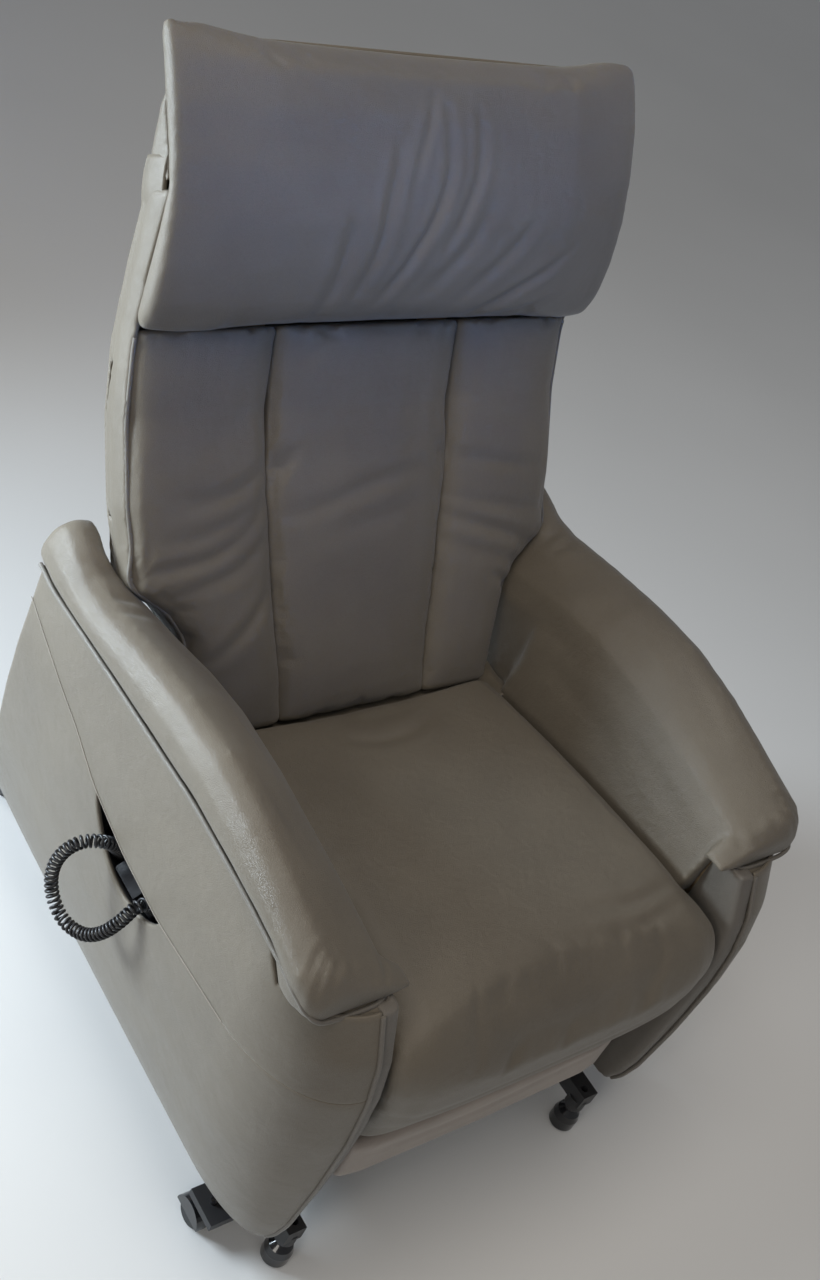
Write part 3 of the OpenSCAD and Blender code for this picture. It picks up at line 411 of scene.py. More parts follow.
def ply(name):
    """Plywood with a wavy grain."""
    mat, tree, shader = material(name, 0.6)
    at = place(tree, (6, 6, 60))
    waves = node(tree, "ShaderNodeTexWave", {"Vector": at, "Scale": 1.2, "Distortion": 6.0, "Detail": 3.0})
    tone = ramp(tree, waves.outputs["Fac"], (0.0, (0.50, 0.36, 0.21)), (1.0, (0.66, 0.51, 0.33)))
    tree.links.new(tone, shader.inputs["Base Color"])
    bump = node(tree, "ShaderNodeBump", {"Height": waves.outputs["Fac"], "Strength": 0.15, "Distance": 0.0005})
    tree.links.new(bump.outputs["Normal"], shader.inputs["Normal"])
    return mat


def cloth(name, color, threads=1400.0):
    """Plain-woven cloth."""
    mat, tree, shader = material(name, 0.9, Sheen_Weight=0.2)
    thread = {"Vector": place(tree), "Scale": threads / 6, "Distortion": 0.5}
    warp = node(tree, "ShaderNodeTexWave", thread, bands_direction="Z")
    weft = node(tree, "ShaderNodeTexWave", thread, bands_direction="Y")
    weave = node(tree, "ShaderNodeMath", {0: warp.outputs["Fac"], 1: weft.outputs["Fac"]}, operation="MAXIMUM")
    tone = ramp(tree, weave.outputs[0], (0.2, [c * 0.6 for c in color]), (0.9, color))
    tree.links.new(tone, shader.inputs["Base Color"])
    bump = node(tree, "ShaderNodeBump", {"Height": weave.outputs[0], "Strength": 0.4, "Distance": 0.0005})
    tree.links.new(bump.outputs["Normal"], shader.inputs["Normal"])
    return mat


# All leathers carry the painted edge highlight; the piping's stronger one (edge=0.4) paints its round cord as a
# pale line.
HIDE = leather("hide", (0.149, 0.126, 0.094), (0.118, 0.099, 0.074), rough=0.40)
HIDE_EDGE = leather("hide_edge", (0.136, 0.121, 0.102), (0.108, 0.095, 0.080), rough=0.44)
HIDE_FOOT = leather("hide_foot", (0.38, 0.32, 0.275), (0.285, 0.24, 0.205), rough=0.5, grain=0.5)
PIPING = leather("hide_piping", (0.138, 0.123, 0.104), (0.110, 0.098, 0.082), rough=0.38, edge=0.4)
THREAD = moulded("thread", (0.24, 0.21, 0.175), 0.7, scale=2500.0, depth=0.4)
BLACK_STEEL = moulded("black_powder_coat", (0.022, 0.022, 0.024), 0.45, scale=1600.0, depth=0.3)
ZINC = moulded("zinc_plated_steel", (0.55, 0.56, 0.58), 0.32, scale=260.0, depth=0.05, metal=1.0)
GLOSS_BLACK = moulded("gloss_black_plastic", (0.012, 0.012, 0.014), 0.16, scale=60.0, depth=0.02, coat=0.4)
MATT_BLACK = moulded("matt_black_plastic", (0.02, 0.02, 0.022), 0.5, scale=1900.0, depth=0.3)
TREAD = moulded("tread_rubber", (0.03, 0.03, 0.031), 0.7, scale=900.0, depth=0.3)
JACKET = moulded("cord_jacket", (0.012, 0.012, 0.014), 0.38, scale=300.0, depth=0.05)
BUTTONS = moulded("soft_grey_buttons", (0.35, 0.36, 0.38), 0.55, scale=1500.0, depth=0.1)
LINING = cloth("pocket_lining", (0.03, 0.03, 0.033))
DUST_CLOTH = cloth("dust_cloth", (0.035, 0.035, 0.038), threads=1000.0)
BOARD = ply("birch_ply")

BY_SLOT = {"steel_black": BLACK_STEEL, "steel_zinc": ZINC, "plastic_gloss": GLOSS_BLACK,
           "plastic_black": MATT_BLACK, "tread": TREAD, "cord_jacket": JACKET, "button_grey": BUTTONS,
           "liner_cloth": LINING, "board": BOARD,
           "leather": HIDE, "leather_edge": HIDE_EDGE, "foot_fabric": HIDE_FOOT}
for row in frame["record"]["subparts"]:
    data = NODES[row["node"]].data
    data.materials.clear()
    data.materials.append(BY_SLOT[row["material_slot"]])

# ---------------------------------------------------------------- camera


def aim_camera():
    """Camera fitted to the photo."""
    azimuth, elevation, roll = (math.radians(a) for a in (-50.2, 38.3, 25.6))
    back = Vector((math.sin(azimuth) * math.cos(elevation), -math.cos(azimuth) * math.cos(elevation),
                   math.sin(elevation)))
    target, distance = Vector(metres((16.9, -16.7, 577.1))), 1.9416
    level = (-back).cross(Vector((0, 0, 1))).normalized()
    upright = level.cross(-back)
    right = math.cos(roll) * level + math.sin(roll) * upright
    up = -math.sin(roll) * level + math.cos(roll) * upright
    camera = bpy.data.objects.new("camera", bpy.data.cameras.new("camera"))
    bpy.context.scene.collection.objects.link(camera)
    camera.data.sensor_width = 36
    camera.data.lens = 43.85
    camera.data.clip_start, camera.data.clip_end = 0.05, 60
    turn = Matrix((right, up, back)).transposed().to_4x4()
    camera.matrix_world = Matrix.Translation(target + back * distance) @ turn
    bpy.context.scene.camera = camera


aim_camera()

# ---------------------------------------------------------------- curly cord

CORD_ROUTE = [
    [-305, -62, 291.5], [-318, -62, 306], [-332, -63, 324], [-348, -67, 346], [-364, -74, 369],
    [-380, -79, 393], [-398, -78, 404], [-416, -71, 401], [-430, -65, 384], [-438, -64, 360],
    [-440, -70, 336], [-438, -84, 316], [-434, -104, 306], [-428, -124, 308], [-422, -142, 320],
    [-414, -156, 341], [-404, -164, 367], [-392, -166, 389], [-378, -166, 389], [-363, -164, 368],
    [-348, -162, 346], [-332, -162, 324], [-318, -162, 306], [-305, -162, 291.5]]
CORD_OUTER = 17
CORD_WIRE = 3.6
CORD_PITCH = 6.4
CORD_TAPER = 14


def curly_cord():
    """Hand control's coiled cord, from gland to gland through the slit."""
    path = smooth_line(CORD_ROUTE, 24)
    step = np.linalg.norm(np.diff(path, axis=0), axis=1)
    run = np.concatenate([[0], np.cumsum(step)])
    turns = round(run[-1] / CORD_PITCH)
    t = np.linspace(0, run[-1], turns * 16 + 1)
    centre = np.stack([np.interp(t, run, path[:, k]) for k in range(3)], 1)
    ahead = np.gradient(centre, axis=0)
    ahead /= np.linalg.norm(ahead, axis=1, keepdims=True)
    side = np.cross(ahead, [0.31, 0.17, -0.94])
    side /= np.linalg.norm(side, axis=1, keepdims=True)
    other = np.cross(ahead, side)
    angle = 2 * math.pi * turns * t / run[-1]
    ends = np.minimum(1, np.minimum(t, run[-1] - t) / CORD_TAPER)
    radius = (CORD_OUTER - CORD_WIRE) / 2 * ends ** 0.5
    line = centre + radius[:, None] * (side * np.cos(angle)[:, None] + other * np.sin(angle)[:, None])
    cord = tube("curly_cord", line, CORD_WIRE / 2, "seat", per=0)
    cord.data.materials.append(JACKET)
    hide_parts("handset_cord")


curly_cord()

# ---------------------------------------------------------------- the back's and head's own frames


def frame_turn(foot, lean):
    """Functions between the drawing and a leaning frame whose y is depth behind the face and z runs up it."""
    c, s = math.cos(math.radians(lean)), math.sin(math.radians(lean))

    def out(points):
        p = np.asarray(points, float)
        return np.stack([p[..., 0], foot[0] + p[..., 1] * c + p[..., 2] * s,
                         foot[1] - p[..., 1] * s + p[..., 2] * c], -1)

    def inward(points):
        p = np.asarray(points, float)
        dy, dz = p[..., 1] - foot[0], p[..., 2] - foot[1]
        return np.stack([p[..., 0], dy * c - dz * s, dy * s + dz * c], -1)
    return out, inward


from_back, to_back = frame_turn((11, 439), 29.7)
from_head, to_head = frame_turn((215, 891), 16.4)
BACK_FACE = from_back([0, -1, 0]) - from_back([0, 0, 0])
HEAD_FACE = from_head([0, -1, 0]) - from_head([0, 0, 0])


def back_width(v):
    """Half the width of the back, v millimetres up it."""
    return 326 - lookup([(-12, 100), (0, 98), (60, 86), (130, 70), (165, 50), (182, 33), (198, 17), (216, 9),
                         (250, 5), (290, 1), (380, 1), (484, 4), (640, 4)], v, 8)


def shoulder(v):
    """How far the filled cover bulges out over the solid's edge just above the arms."""
    return 13 * np.exp(-((v - 196) / 30) ** 2)


def back_shift(v):
    """Depth of the back's face, which comes forward towards the head section."""
    return lookup([(390, 0), (475, -15), (560, -55), (616, -85), (640, -98)], v, 12)


# ---------------------------------------------------------------- seat and leg rest
SEAT_HALF = 234
COVER_DEPTH = 34


def seat_profile():
    """Skin of the seat and leg pad in the middle, from the rear edge over the knee to the lower edge."""
    table = [(-440, 481), (-403, 490), (-340, 489), (-260, 483), (-150, 469), (-60, 454), (2, 441)]
    ys = np.linspace(2, -440, 64)
    top = np.stack([ys, lookup(table, ys, 25)], 1)
    angles = np.radians(np.linspace(90, 0, 22))[1:]
    knee = np.stack([-440 - 63 * np.cos(angles), 412 + 69 * np.sin(angles)], 1)
    zs = np.linspace(406, 246, 32)
    front = [(246, -452), (258, -465), (272, -474), (300, -480), (335, -491), (375, -500), (412, -503)]
    leg = np.stack([lookup(front, zs, 6), zs], 1)
    return np.vstack([top, knee, leg])


def seat_cover():
    """One cover over the seat, the knee and the leg rest, which folds at the knee."""
    line = seat_profile()
    d = np.gradient(line, axis=0)
    normal = np.stack([-d[:, 1], d[:, 0]], 1)
    normal *= -1 / np.linalg.norm(normal, axis=1, keepdims=True)
    normal *= np.sign(normal[0, 1])
    inner = line - normal * COVER_DEPTH
    waist = np.interp(np.arange(len(line)), [0, 58, 62, 70, 84, 95, 105, len(line) - 1],
                      [SEAT_HALF, SEAT_HALF, 246, 254, 252, 241, 232, 229])
    near_edge = [0.92, 0.95, 0.975, 0.992, 1]
    rings = []
    for t in np.concatenate([[-t for t in near_edge[::-1]], np.linspace(-0.88, 0.88, 45), near_edge]):
        drop = 9 * abs(t) ** 5 + 13 * abs(t) ** 30
        outer = line - normal * drop
        ring = np.vstack([outer, inner[::-1]])
        xs = t * np.concatenate([waist, waist[::-1]])
        rings.append(np.column_stack([xs, ring]))
    obj = loft("seat_cover", rings)
    refine(obj, voxel=6, rounds=6, swell=2.0)
    puff(obj, 7, lambda co: (np.clip((SEAT_HALF - np.abs(co[:, 0])) / 30, 0.2, 1)
                             * np.clip((co[:, 2] - 250) / 90, 0.1, 1)))
    refine(obj, rounds=2, subdivide=1)
    crease(obj, lambda co: co[:, :2], [
        ([(-70, -60), (-20, -78), (40, -72), (92, -44)], 2.6, 9), ([(-60, -22), (0, -34), (60, -24)], 1.6, 10),
        ([(60, -395), (130, -412), (210, -404)], 1.8, 9), ([(20, -428), (110, -440), (205, -430)], 1.6, 8)],
        facing=(0, 0, 1))
    crease(obj, lambda co: co[:, ::2], [
        ([(-225, 360), (-120, 352), (20, 356), (150, 366), (226, 384)], 2.0, 9),
        ([(-210, 318), (-60, 312), (90, 322), (215, 340)], 1.5, 9)], facing=(0, -1, 0))
    finish_piece(obj, HIDE, replaces=("seat_cushion", "knee_bend_pad", "leg_pad"))
    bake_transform(obj)


seat_cover()


def seat_foam():
    """Dust-covered underside of the seat cushion."""
    section = [(-4, 364), (-408, 364), (-416, 372), (-416, 434), (-300, 440), (-150, 428), (-4, 402)]
    rings = [[(x, y, z) for y, z in section] for x in np.linspace(-228, 228, 25)]
    obj = refine(loft("seat_foam", rings), voxel=7, rounds=3)
    finish_piece(obj, DUST_CLOTH, body="seat")


seat_foam()


def foot_pad():
    """Face of the foot panel."""
    obj = copy_of("foot_cover", "foot_pad")
    refine(obj, voxel=4, rounds=3)
    crease(obj, lambda co: co[:, ::2], [([(-190, 216), (-60, 206), (80, 212), (200, 222)], 1.2, 6)],
           facing=(0, -1, 0))
    finish_piece(obj, HIDE_FOOT, body="foot_panel", replaces=("foot_pad",))


foot_pad()

# ---------------------------------------------------------------- back


def seat_flap():
    """Strip that closes the gap between the seat cushion, the arms and the back's lower edge."""
    end = from_back([0, 34, 4])
    line = smooth_line([(-8, 431), (8, 426), (24, 423), (end[1], end[2])], 5)
    xs = np.linspace(-262, 262, 41)[:, None]
    beside_seat = smooth_step((np.abs(xs) - 222) / 10)
    ahead = 18 * beside_seat * np.linspace(1, 0, len(line))
    top = np.stack([xs + 0 * line[:, 0], line[:, 0] - ahead, line[:, 1] + 0 * xs], -1)
    obj = slab("seat_flap", top, top - [0, 0, 2.4])
    finish_piece(obj, HIDE)
    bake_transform(obj)


seat_flap()


def spread(obj, more=0):
    """Moves the cover's sides out by the shoulder's bulge and some more."""
    local = to_back(get_co(obj))
    share = np.clip((np.abs(local[:, 0]) / back_width(local[:, 2]) - 0.6) / 0.4, 0, 1.05)
    local[:, 0] += np.sign(local[:, 0]) * share * (shoulder(local[:, 2]) + more)
    set_co(obj, from_back(local))


def back_pads():
    """The three panels of the back, with the folds that run in from their seams."""
    from_left = [([(-264, 292), (-220, 295), (-185, 302), (-160, 316), (-142, 332)], 2.6, 11),
                 ([(-286, 248), (-245, 249), (-206, 260), (-172, 278), (-142, 302)], 2.4, 11),
                 ([(-304, 212), (-266, 218), (-224, 226), (-186, 244), (-158, 268), (-142, 290)], 3.4, 10),
                 ([(-264, 180), (-228, 194), (-193, 206), (-163, 228), (-138, 250)], 2.4, 11),
                 ([(-230, 88), (-198, 113), (-172, 136), (-150, 162), (-136, 184)], 2.6, 9),
                 ([(-272, 350), (-220, 362), (-168, 388)], 1.2, 16)]
    from_right = [([(144, 316), (187, 307), (254, 295), (308, 291)], 2.2, 10),
                  ([(140, 262), (191, 250), (259, 237), (302, 230)], 2.0, 10),
                  ([(138, 236), (181, 223), (244, 197), (294, 174)], 3.0, 10),
                  ([(134, 204), (195, 181), (264, 158)], 1.6, 12),
                  ([(204, 152), (232, 138), (250, 116)], 3.0, 8),
                  ([(199, 378), (250, 358), (292, 342)], 1.2, 14)]
    middle = [([(-126, 262), (-73, 269), (-16, 286), (34, 298), (112, 313)], 2.6, 13),
              ([(-92, 239), (-25, 244), (34, 250), (86, 263)], 1.4, 14), ([(16, 331), (104, 347)], 1.2, 14),
              ([(-114, 446), (-78, 468), (-50, 481)], 1.6, 10)]

    def near_face(co):
        local = to_back(co)
        return np.clip((30 - local[:, 1] + back_shift(local[:, 2])) / 25, 0, 1)
    for name, lines in (("back_centre", middle), ("back_left", from_left), ("back_right", from_right)):
        node_name = name + "_pad"
        obj = copy_of(name, node_name)
        refine(obj, voxel=4, rounds=4, swell=1.7)
        puff(obj, 4, near_face)
        refine(obj, rounds=1, subdivide=1)
        crease(obj, lambda co: to_back(co)[:, ::2], lines, facing=BACK_FACE)
        spread(obj, more=5)
        finish_piece(obj, HIDE, body="back", replaces=(node_name,))


back_pads()


def back_cover():
    """Sides and rear of the back."""
    obj = copy_of("back_gusset", "back_cover")
    refine(obj, voxel=4, rounds=3, swell=0.8)
    spread(obj)
    finish_piece(obj, HIDE, body="back", replaces=("back_cover",))


back_cover()


def back_welts():
    """Welts between the panels and the sides of the back."""
    v = np.arange(26, 484, 12.0)
    for side, word in ((-1, "left"), (1, "right")):
        line = from_back(np.stack([side * (back_width(v) + shoulder(v) - 3), back_shift(v) + 3, v], 1))
        welt = tube(f"back_welt_{word}", line, 2.6, "back", per=3)
        welt.data.materials.append(PIPING)


back_welts()

# ---------------------------------------------------------------- head section


def head_parts():
    """Cushion of the head section with its fan of folds, and its gusset."""
    folds = [([(-112, 135), (-112, 100), (-118, 57), (-131, 16)], 3.6, 10),
             ([(-59, 214), (-60, 183), (-63, 155), (-66, 112), (-74, 78), (-85, 50)], 4.2, 8),
             ([(8, 250), (15, 204), (13, 171), (2, 134), (-14, 100), (-31, 68), (-52, 36)], 4.8, 7),
             ([(54, 248), (59, 215), (57, 181), (48, 150), (35, 118), (26, 94)], 3.4, 7),
             ([(88, 155), (74, 128), (61, 103), (36, 73), (8, 40)], 2.6, 10),
             ([(160, 141), (144, 116), (118, 85), (92, 59), (60, 26)], 2.6, 9),
             ([(234, 103), (197, 74), (162, 51), (123, 27), (96, 12)], 3.2, 7),
             ([(230, 37), (188, 21), (152, 12), (124, 8)], 2.2, 6),
             ([(-14, 264), (-18, 240), (-26, 212), (-32, 190), (-39, 168)], 2.0, 6)]
    obj = copy_of("head_pillow", "head_cushion")
    refine(obj, voxel=5.5, rounds=7, swell=2.0)
    puff(obj, 9, lambda co: np.clip((300 - np.abs(co[:, 0])) / 90, 0.06, 1))
    refine(obj, rounds=1, subdivide=1)
    crease(obj, lambda co: to_head(co)[:, ::2], folds, facing=HEAD_FACE)
    finish_piece(obj, HIDE, body="head", replaces=("head_cushion",))
    cover = refine(copy_of("head_gusset", "head_cover"), voxel=4, rounds=4)
    finish_piece(cover, HIDE, body="head", replaces=("head_cover",))


head_parts()


# Heights of the fold's edges on the back and on the head section
NECK_ON_BACK = 618
NECK_ON_HEAD = 172
NECK_SLOPE = 0.237


def neck_fold():
    """Gusset leather across the head section's hinge, bulging out between the back's edge and the head
    section's.
    """
    w, f, v = back_width(NECK_ON_BACK), back_shift(NECK_ON_BACK), NECK_ON_BACK
    low = from_back([(w - 3, 8 + f, v), (w - 3, 38 + f, v), (w - 12, 66 + f, v), (w - 34, 81 + f, v),
                     (w * 0.5, 87 + f, v), (0, 89 + f, v)])
    high = np.array([(x, y, NECK_ON_HEAD) for x, y in
                     ((317, 4), (317, 34), (309, 54), (290, 65), (160, 68), (0, 69))])
    # The head gusset's lower edge slopes down towards the rear
    high = from_head(high + (49 - high[:, 1:2]) * [0, 0, NECK_SLOPE])
    rows = []
    for t in np.linspace(0, 1, 13):
        row = smooth_line(low * (1 - t) + high * t, 10)
        row = np.vstack([row, row[-2::-1] * [-1, 1, 1]])
        out = row - [0, row[:, 1].min(), row[:, 2].mean()]
        out /= np.linalg.norm(out, axis=1, keepdims=True)
        rows.append((row + out * 3.2 * math.sin(math.pi * t) ** 0.7, row - out * 2))
    obj = slab("neck_fold", [a for a, b in rows], [b for a, b in rows])
    finish_piece(obj, HIDE)
    metres(from_back([0, 40 + f, 630]))
    metres(from_head([0, 34, 160]))
    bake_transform(obj)


neck_fold()

# ---------------------------------------------------------------- arms


def mirrored(side, points):
    """Points of the right side (side 1) or their mirror image on the left (side -1)."""
    p = np.asarray(points, float).copy()
    p[..., 0] *= side
    return p


def pad_out(y):
    """Outer edge of the arm pad."""
    return 378 + lookup([(-434, -17), (-424, -7), (-404, 0), (170, 0), (224, -6)], y, 4)


def pad_piping(y):
    """Height of the piping along the arm pad's outer edge."""
    return lookup([(-434, 536), (-424, 546), (-404, 562), (-300, 575), (-180, 582), (0, 573), (140, 564),
                   (224, 560)], y, 14)


def pad_edge(y):
    """Height at which the side panel meets the arm pad."""
    return lookup([(-383, 533), (-352, 568), (-300, 575), (-180, 582), (0, 573), (140, 564), (224, 560)], y, 4)


CREST_DROP = 9
CREST_LEAN = 4


def settle_crest(obj):
    """Lowers the pad's rear crest and lets its inner side lean on the back."""
    co = get_co(obj)
    rear = smooth_step((co[:, 1] - 140) / 55)
    high = smooth_step((co[:, 2] - 560) / 50)
    inner = smooth_step((352 - np.abs(co[:, 0])) / 30)
    co[:, 2] -= CREST_DROP * rear * high
    co[:, 0] -= np.sign(co[:, 0]) * CREST_LEAN * rear * inner * smooth_step((co[:, 2] - 500) / 40)
    set_co(obj, co)


def cap_lining(side, word):
    """Closes the arm from above between the cap and the top edges of the panel and the border band."""
    height, inner_x, rear_y = 530.0, 266, -384.0
    rim = np.array([panel_point(s, height - 1, 4)[:2] for s in np.linspace(0.79, 1, 12)])
    rim = np.vstack([rim, [[inner_x, rim[-1, 1]]]])
    far = np.column_stack([rim[:, 0], np.full(len(rim), rear_y)])
    level = np.full(len(rim), height)
    top = mirrored(side, np.stack([np.column_stack([rim, level]), np.column_stack([far, level])], 1))
    obj = slab(f"cap_lining_{word}", top, top - [0, 0, 3])
    finish_piece(obj, HIDE, body="seat")


def arm_pads():
    """Arm pads with gathers at the cap and at the rear, and the welts along their outer edges."""
    def top(co):
        return np.stack([np.abs(co[:, 0]), co[:, 1]], 1)

    def inner(co):
        return co[:, 1:]
    for side, word in ((-1, "left"), (1, "right")):
        obj = copy_of(f"arm_top_{word}", f"arm_pad_{word}")
        refine(obj, voxel=4.5, rounds=7, swell=1.8)
        settle_crest(obj)
        crease(obj, top, [
            ([(374, -414), (358, -396), (340, -388)], 1.8, 4),
            ([(372, -428), (356, -408), (338, -394)], 1.8, 4),
            ([(360, -434), (346, -416), (334, -404)], 1.4, 4.5),
            ([(330, -434), (322, -414), (318, -396)], 0.8, 6),
            ([(284, -434), (276, -420), (272, -404)], 1.4, 5)], facing=(0, -0.3, 0.95))
        crease(obj, top, [
            ([(366, 120), (340, 96), (316, 92)], 1.8, 8), ([(364, 84), (336, 66), (310, 66)], 1.6, 8),
            ([(362, 160), (338, 140), (318, 140)], 1.6, 7)], facing=(0, 0, 1))
        crease(obj, inner, [
            ([(-380, 520), (-300, 534), (-220, 548)], 0.8, 14),
            ([(-250, 500), (-160, 520), (-60, 520)], 0.8, 15),
            ([(-120, 560), (-30, 552), (40, 530)], 1.2, 12)], facing=(-side, 0, 0.3))
        finish_piece(obj, HIDE, body="seat", replaces=(f"arm_pad_{word}",))
        ys = np.concatenate([np.arange(218, -400, -9.0), np.arange(-404, -436, -6.0)])
        edge = np.stack([pad_out(ys) + 1.5, ys, pad_piping(ys) - 1], 1)
        front = [[352, -436.5, 533], [330, -437.5, 531.5], [304, -437.5, 531], [284, -436, 531],
                 [268, -428, 531], [262, -414, 532], [262, -404, 534]]
        line = mirrored(side, np.vstack([edge, front]))
        welt = tube(f"arm_welt_{word}", line, 2.8, "seat", per=3)
        welt.data.materials.append(PIPING)


arm_pads()

# ---------------------------------------------------------------- side panels
CORNER_Y = -350
BORDER_X = 288
SIDE_SHARE = 0.7
SLIT = (-203, -29)
SLIT_DEPTH = 52
PANEL_GAP = 0.4
ROLL = 2.2


def panel_x(z):
    """Distance of the side panel from the middle, at height z."""
    return lookup([(84, 322), (110, 337), (150, 352), (200, 364), (280, 378), (360, 385), (430, 387),
                   (500, 384), (580, 377)], z, 14)


def panel_front(z):
    """Front edge of the side panel, at height z."""
    return lookup([(84, -461), (110, -474), (150, -483), (250, -491), (350, -494), (420, -490), (480, -478),
                   (520, -458), (545, -446)], z, 8)


def panel_rear(z):
    return lookup([(84, 262), (110, 254), (250, 232), (400, 218), (500, 214), (580, 217)], z, 14)


def panel_top(y):
    return np.where(y < -376, 532.5, pad_edge(y) - 3)


def panel_bottom(y):
    return lookup([(-490, 86), (-100, 88), (100, 100), (262, 122)], y, 14)


def seam_z(y):
    """Height of the curved seam between the side's two panels."""
    return lookup([(-492, 430), (-404, 427), (-296, 417), (-200, 408), (-110, 414), (-24, 432), (48, 461),
                   (95, 473), (217, 512)], y, 14)


def panel_point(s, z, d):
    """Place on the panel: s from 0 at the rear edge to 1 at the front welt, d inwards."""
    share = s / SIDE_SHARE
    rear, front, x = panel_rear(z), panel_front(z), panel_x(z)
    angle = np.radians(90 * np.clip((s - SIDE_SHARE) / (1 - SIDE_SHARE), 0, 1))
    flat = s <= SIDE_SHARE
    px = np.where(flat, x - 6 * np.clip(1 - share, 0, 1) ** 3 - d,
                  BORDER_X + (x - BORDER_X - d) * np.cos(angle))
    py = np.where(flat, rear + (CORNER_Y - rear) * share,
                  CORNER_Y - (CORNER_Y - front - d) * np.sin(angle))
    return np.stack([px, py, z], -1)


def slit_drop(y):
    """How far the lower lip of the slit hangs below the seam."""
    share = np.clip((y - SLIT[0]) / (SLIT[1] - SLIT[0]), 0, 1)
    return SLIT_DEPTH * np.sin(np.pi * share) ** 0.6


def side_panel(name, side, upper, slit, replaces):
    """Panel above or below the seam, its edges rolled in; the lower left one leaves the slit open."""
    s = np.unique(np.concatenate([np.linspace(0, 1, 190), np.linspace(0.395, 0.58, 70)]))[:, None]
    t = np.concatenate([[0, 0.004, 0.012, 0.025], np.linspace(0.04, 0.96, 70), [0.975, 0.988, 0.996, 1]])
    t = t[None, :]
    if upper:
        y_low, y_high = panel_point(s, 440 + 0 * s, 0)[..., 1], panel_point(s, 545 + 0 * s, 0)[..., 1]
        low, high = seam_z(y_low) + PANEL_GAP / 2, panel_top(y_high) + 1.2
    else:
        y_mid = panel_point(s, 400 + 0 * s, 0)[..., 1]
        low = panel_bottom(y_mid)
        high = seam_z(y_mid) - PANEL_GAP / 2 - slit * slit_drop(y_mid)
    z = low + (high - low) * t
    reach = (high - low) + 0 * t
    edge = np.minimum(t, 1 - t) * reach
    ends = np.minimum(s, 1 - s) * 880
    at_high = ROLL if upper else 0.5 + (ROLL - 0.5) * np.clip(slit * slit_drop(y_mid) / 10, 0, 1)
    roll = np.where(t > 0.5, at_high, 0.5 if upper else ROLL) * np.exp(-edge / 1.6)
    roll = np.maximum(roll, ROLL * np.exp(-ends / 2.0))
    outer = panel_point(s + 0 * z, z, roll)
    inner = panel_point(s + 0 * z, z, 5.5)
    obj = slab(name, mirrored(side, outer), mirrored(side, inner))
    return finish_piece(obj, HIDE, body="seat", replaces=replaces)


def side_panels():
    for side, word in ((-1, "left"), (1, "right")):
        side_panel(f"side_top_{word}", side, True, False, (f"side_upper_{word}",))
        side_panel(f"side_skin_{word}", side, False, side < 0, (f"side_lower_{word}",))
        ys = np.arange(214, -352, -8.0)
        shares = np.clip(SIDE_SHARE * (214 - ys) / 564, 0, SIDE_SHARE)
        on_side = panel_point(shares, seam_z(ys), -0.2)
        seam = tube(f"side_seam_{word}", mirrored(side, on_side), 0.6, "seat", per=2)
        seam.data.materials.append(THREAD)
        cap_lining(side, word)


side_panels()


def sleeve(name, outer, inner):
    """Closed sheet between two grids whose rows run all the way round."""
    outer, inner = np.asarray(outer, float), np.asarray(inner, float)
    m, n = outer.shape[:2]
    faces = grid_faces(m, n, around=True) + grid_faces(m, n, start=m * n, flip=True, around=True)
    for first in (0, (m - 1) * n):
        for j in range(n):
            a, b = first + j, first + (j + 1) % n
            faces.append([a, b, m * n + b, m * n + a])
    return outward(mesh_object(name, np.vstack([outer.reshape(-1, 3), inner.reshape(-1, 3)]), faces))


# Middle of the slit, the pocket's lean in degrees, half the sizes of its mouth and how deep that lies
SLIT_MIDDLE = (-384, -116, 390)
POCKET_LEAN = 38
MOUTH = (12.6, 81.6)
MOUTH_DEPTH = 38


def slit_cuff():
    """Lining from the lips of the slit in to the mouth of the hand control's pocket."""
    a = np.linspace(0, 2 * np.pi, 96, endpoint=False)
    above = np.where(np.cos(a) > 0, 1, -1)
    y = SLIT_MIDDLE[1] + 88 * np.sin(a)
    z = np.where(above > 0, seam_z(y) + 3, seam_z(y) - slit_drop(y) - 3)
    lean = math.radians(POCKET_LEAN)
    across = np.array([math.cos(lean), 0, math.sin(lean)])
    axis = np.array([-math.sin(lean), 0, math.cos(lean)])
    half_thick, half_wide = MOUTH

    def row(t, wall):
        lip = np.stack([-(panel_x(z) - 6.2 - wall), y, z + wall * above], 1)
        squash = np.sign(np.cos(a)) * np.abs(np.cos(a)) ** 0.35
        mouth = (np.array(SLIT_MIDDLE) - MOUTH_DEPTH * axis + (half_thick + wall) * squash[:, None] * across
                 + (half_wide + wall) * np.sin(a)[:, None] * [0, 1, 0])
        return lip * (1 - t) + mouth * t
    ts = np.linspace(0, 1, 9) ** 1.3
    obj = sleeve("slit_cuff", [row(t, 1.4) for t in ts], [row(t, 0) for t in ts])
    finish_piece(obj, LINING, body="seat")


slit_cuff()


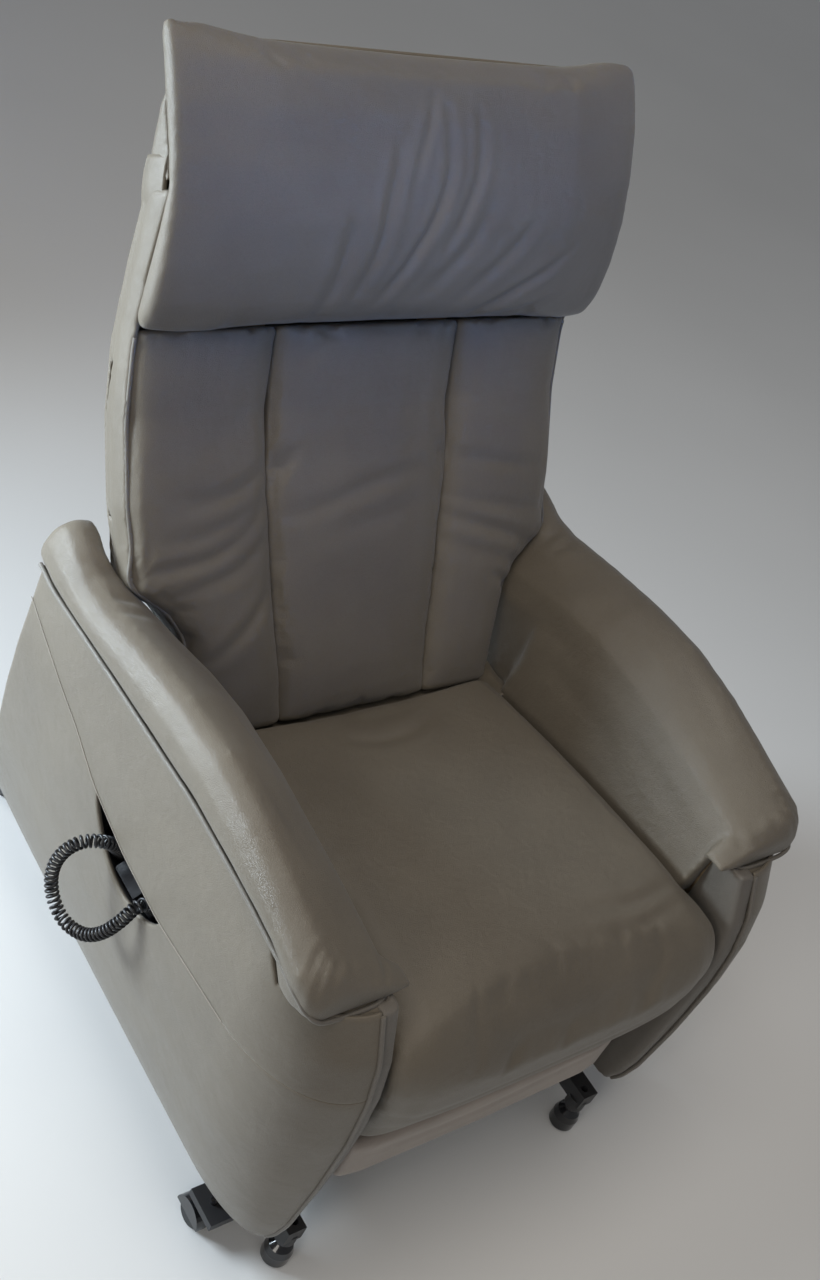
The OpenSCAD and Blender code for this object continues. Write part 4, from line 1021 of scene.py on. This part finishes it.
def front_borders():
    """Border bands of the arms, drawn up to their caps, and the welts at their outer edges."""
    zs = np.arange(92, 534, 8.0)
    for side, word in ((-1, "left"), (1, "right")):
        obj = refine(copy_of(f"front_band_{word}", f"front_border_{word}"), voxel=3, rounds=3)
        co = get_co(obj)
        co[:, 2] += 4.5 * np.clip((co[:, 2] - 500) / 29, 0, 1)
        set_co(obj, co)
        finish_piece(obj, HIDE_EDGE, body="seat", replaces=(f"front_border_{word}",))
        line = np.stack([BORDER_X + 0 * zs, panel_front(zs) - 0.5, zs], 1)
        welt = tube(f"front_welt_{word}", mirrored(side, line), 3.0, "seat", per=3)
        welt.data.materials.append(PIPING)


front_borders()

# ---------------------------------------------------------------- floor and light


def stage():
    """Pale floor."""
    bpy.ops.mesh.primitive_plane_add(size=14, location=(0, 0, 0))
    floor = bpy.context.object
    floor.name = "floor"
    mat, tree, shader = material("pale_floor", 0.8)
    tone = node(tree, "ShaderNodeTexNoise", {"Vector": place(tree), "Scale": 1.2, "Detail": 2.0})
    tree.links.new(ramp(tree, tone.outputs["Fac"], (0.3, (0.74, 0.74, 0.735)), (0.7, (0.77, 0.77, 0.765))),
                   shader.inputs["Base Color"])
    floor.data.materials.append(mat)


def area_light(name, place_at, aim, size, power, color, spread=180):
    data = bpy.data.lights.new(name, "AREA")
    data.shape, data.size, data.energy, data.color = "DISK", size, power, color
    data.spread = math.radians(spread)
    obj = new_object(name, data)
    obj.location = place_at
    obj.rotation_mode = "QUATERNION"
    obj.rotation_quaternion = (Vector(aim) - Vector(place_at)).to_track_quat("-Z", "Y")


def lights():
    """Daylight from the left and from behind, cool sky on the head, warm room light from above."""
    area_light("window", (-1.6, 1.2, 0.95), (-0.36, 0.2, 0.72), 0.8, 26, (0.78, 0.90, 1.0), spread=100)
    area_light("rear_window", (-0.8, 1.05, 2.4), (0, -0.1, 0.55), 0.7, 5, (0.84, 0.92, 1.0))
    area_light("fill", (-2.2, -1.1, 1.7), (0.3, -0.25, 0.55), 1.0, 3.0, (1.0, 0.95, 0.88), spread=80)
    area_light("ceiling", (-0.35, -0.25, 3.0), (0, 0, 0.5), 1.6, 24, (1.0, 0.92, 0.82))
    area_light("sky", (0.3, -2.5, 1.75), (0, 0.28, 1.38), 0.9, 2.8, (0.16, 0.38, 1.0), spread=34)
    world = bpy.data.worlds.new("studio")
    world.use_nodes = True
    world.node_tree.nodes["Background"].inputs["Color"].default_value = (0.9, 0.92, 0.95, 1)
    world.node_tree.nodes["Background"].inputs["Strength"].default_value = 0.22
    bpy.context.scene.world = world


stage()
lights()
bpy.context.scene.view_settings.view_transform = "Standard"
